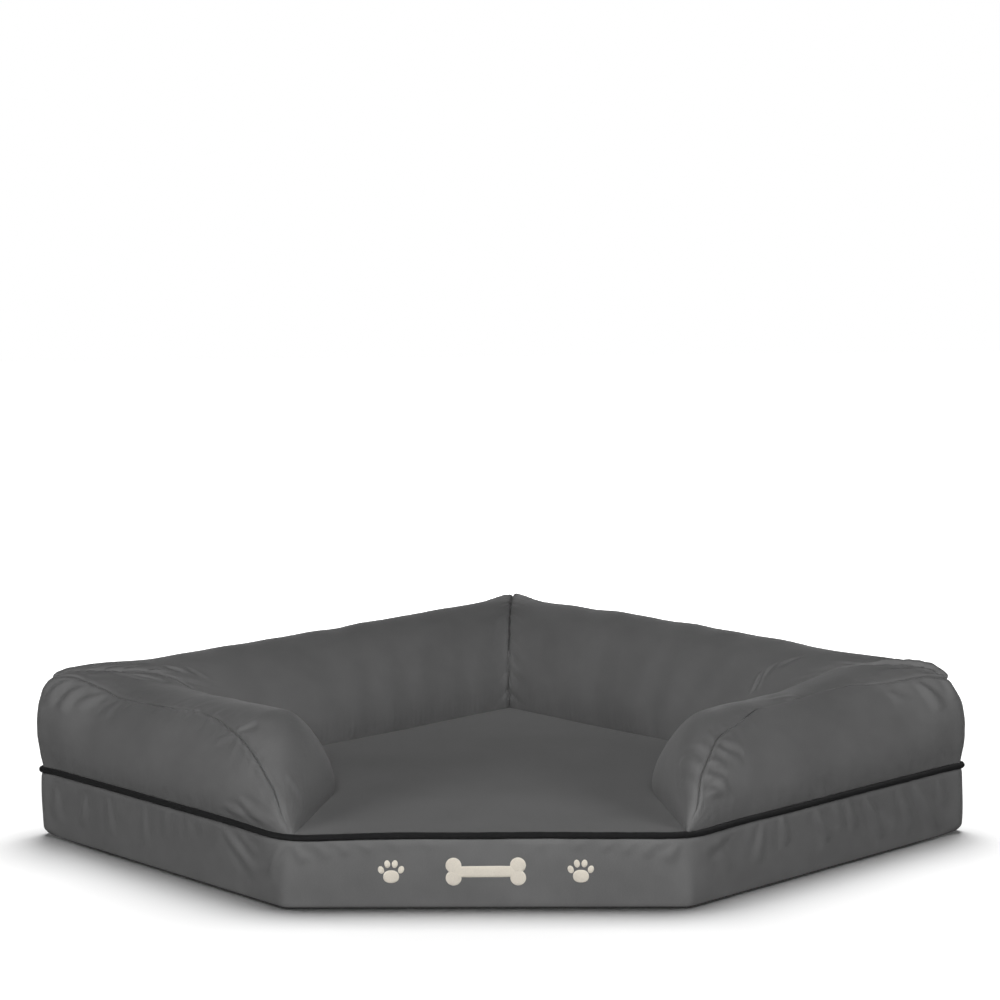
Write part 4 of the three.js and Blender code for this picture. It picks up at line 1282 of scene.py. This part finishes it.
def satin_patch(centre, width, height, turn=0.0, power=2.0, lean=0.0):
    """(x, z, rise) of a raised, rounded patch of satin stitch, its faces and its thread coordinates."""
    rings, sides = 6, 30
    vertices, places = [], []
    for ring in range(rings + 1):
        share = 1 - (ring / rings) ** 1.6
        rise = STITCH_HEIGHT * math.sin(math.acos(min(share, 1.0))) ** 0.7
        for x, z in oval(width * share, height * share, power, sides):
            c, s = math.cos(turn), math.sin(turn)
            vertices.append((centre[0] + c * x - s * z, centre[1] + s * x + c * z, rise))
            c, s = math.cos(lean), math.sin(lean)
            places.append((c * x + s * z, -s * x + c * z))
    faces = [tuple(f) for f in grid_faces(rings + 1, sides, around=True)]
    return vertices, faces, places


def embroidered(name, node, patches):
    """Patches of satin stitch on the border's face, about the middle of the frame's motif."""
    low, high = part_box(node)
    vertices, faces, places = [], [], []
    for patch in patches:
        more, more_faces, more_places = satin_patch(**patch)
        faces += [tuple(i + len(vertices) for i in f) for f in more_faces]
        vertices += more
        places += more_places
    x, z, rise = np.array(vertices).T
    front = (outline.middle["front_left"] + outline.length) / 2
    along = front + x + (low.x + high.x) / 2
    height = z + (low.z + high.z) / 2
    inset = border_profile(along, height) - border_lift(along, height) - rise + 0.1 * MM
    piece = mesh_object(name, placed(along, inset, height), faces)
    fix_normals(piece)
    set_weave(piece, np.array(places))
    finished(piece, THREAD, nodes=[node])


def make_motif():
    """A bone between two paws, in cream satin stitch."""
    knobs = [dict(centre=(x * 34 * MM, z * 6.8 * MM), width=17 * MM, height=17 * MM, lean=0.9 * x * z)
             for x in (-1, 1) for z in (-1, 1)]
    bar = dict(centre=(0, 0), width=74 * MM, height=12.4 * MM, power=5)
    embroidered("stitched_bone", "embroidered_bone", [bar, *knobs])
    for hand in ("left", "right"):
        pad = dict(centre=(0, -5.2 * MM), width=17 * MM, height=14 * MM, power=2.3)
        toes = [dict(centre=(x * MM, z * MM), width=6.4 * MM, height=8.6 * MM, turn=-x * 0.035, lean=0.3)
                for x, z in ((-10.6, 2.2), (-4.0, 8.4), (4.0, 8.4), (10.6, 2.2))]
        embroidered(f"stitched_paw_{hand}", f"embroidered_paw_{hand}", [pad, *toes])


# ---- floor and light ----
# name, place, size, power, whether it lights only the floor or all but the floor
LIGHTS = (
    ("key", (0.05, -2.85, 1.7), 1.3, 65, "EXCLUDE"),
    ("left fill", (-2.05, -2.15, 0.85), 1.2, 33.5, "EXCLUDE"),
    ("right fill", (2.05, -2.15, 0.85), 1.2, 32, "EXCLUDE"),
    ("floor wash", (0.1, 0.9, 3.0), 2.6, 154, "INCLUDE"),
    ("left back", (-2.3, 2.3, 0.42), 0.8, 66, "EXCLUDE"),
    ("right back", (2.3, 2.3, 0.42), 0.8, 66, "EXCLUDE"),
)
AIM = Vector((0, -0.1, 0.05))
FLOOR_SIZE = 14


def soft_light(name, place, size, power, link, floor):
    """A square soft light that looks at the bed. The back ones leave no glints."""
    light = bpy.data.lights.new(name, "AREA")
    light.size = size
    light.energy = power
    lamp = bpy.data.objects.new(name, light)
    bpy.context.collection.objects.link(lamp)
    lamp.location = place
    lamp.rotation_euler = (AIM - Vector(place)).to_track_quat("-Z", "Y").to_euler()
    lamp.visible_camera = False
    lamp.visible_glossy = not name.endswith("back")
    lit = bpy.data.collections.new(f"linked to {name}")
    lit.objects.link(floor)
    lit.collection_objects[0].light_linking.link_state = link
    lamp.light_linking.receiver_collection = lit


def make_stage():
    bpy.ops.mesh.primitive_plane_add(size=FLOOR_SIZE)
    floor = bpy.context.object
    floor.name = "studio_floor"
    floor.location.z = -0.2 * MM
    floor.data.materials.append(stage_floor())
    floor.visible_diffuse = False
    floor.visible_glossy = False
    world = bpy.data.worlds.new("studio")
    world.use_nodes = True
    background = world.node_tree.nodes["Background"]
    background.inputs["Color"].default_value = (1, 1, 1, 1)
    background.inputs["Strength"].default_value = 1.0
    world.cycles_visibility.diffuse = False
    world.cycles_visibility.glossy = False
    bpy.context.scene.world = world
    for light in LIGHTS:
        soft_light(*light, floor)
    bpy.context.scene.view_settings.view_transform = "Standard"


for node, finish in CAD_FINISHES.items():
    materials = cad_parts[node].data.materials
    materials.clear()
    materials.append(finish)

make_rim()
make_top_panel()
make_border()
make_piping()
make_underside()
make_tapes()
make_coils()
make_slider()
make_puller()
make_stops()
make_label()
make_motif()
make_stage()
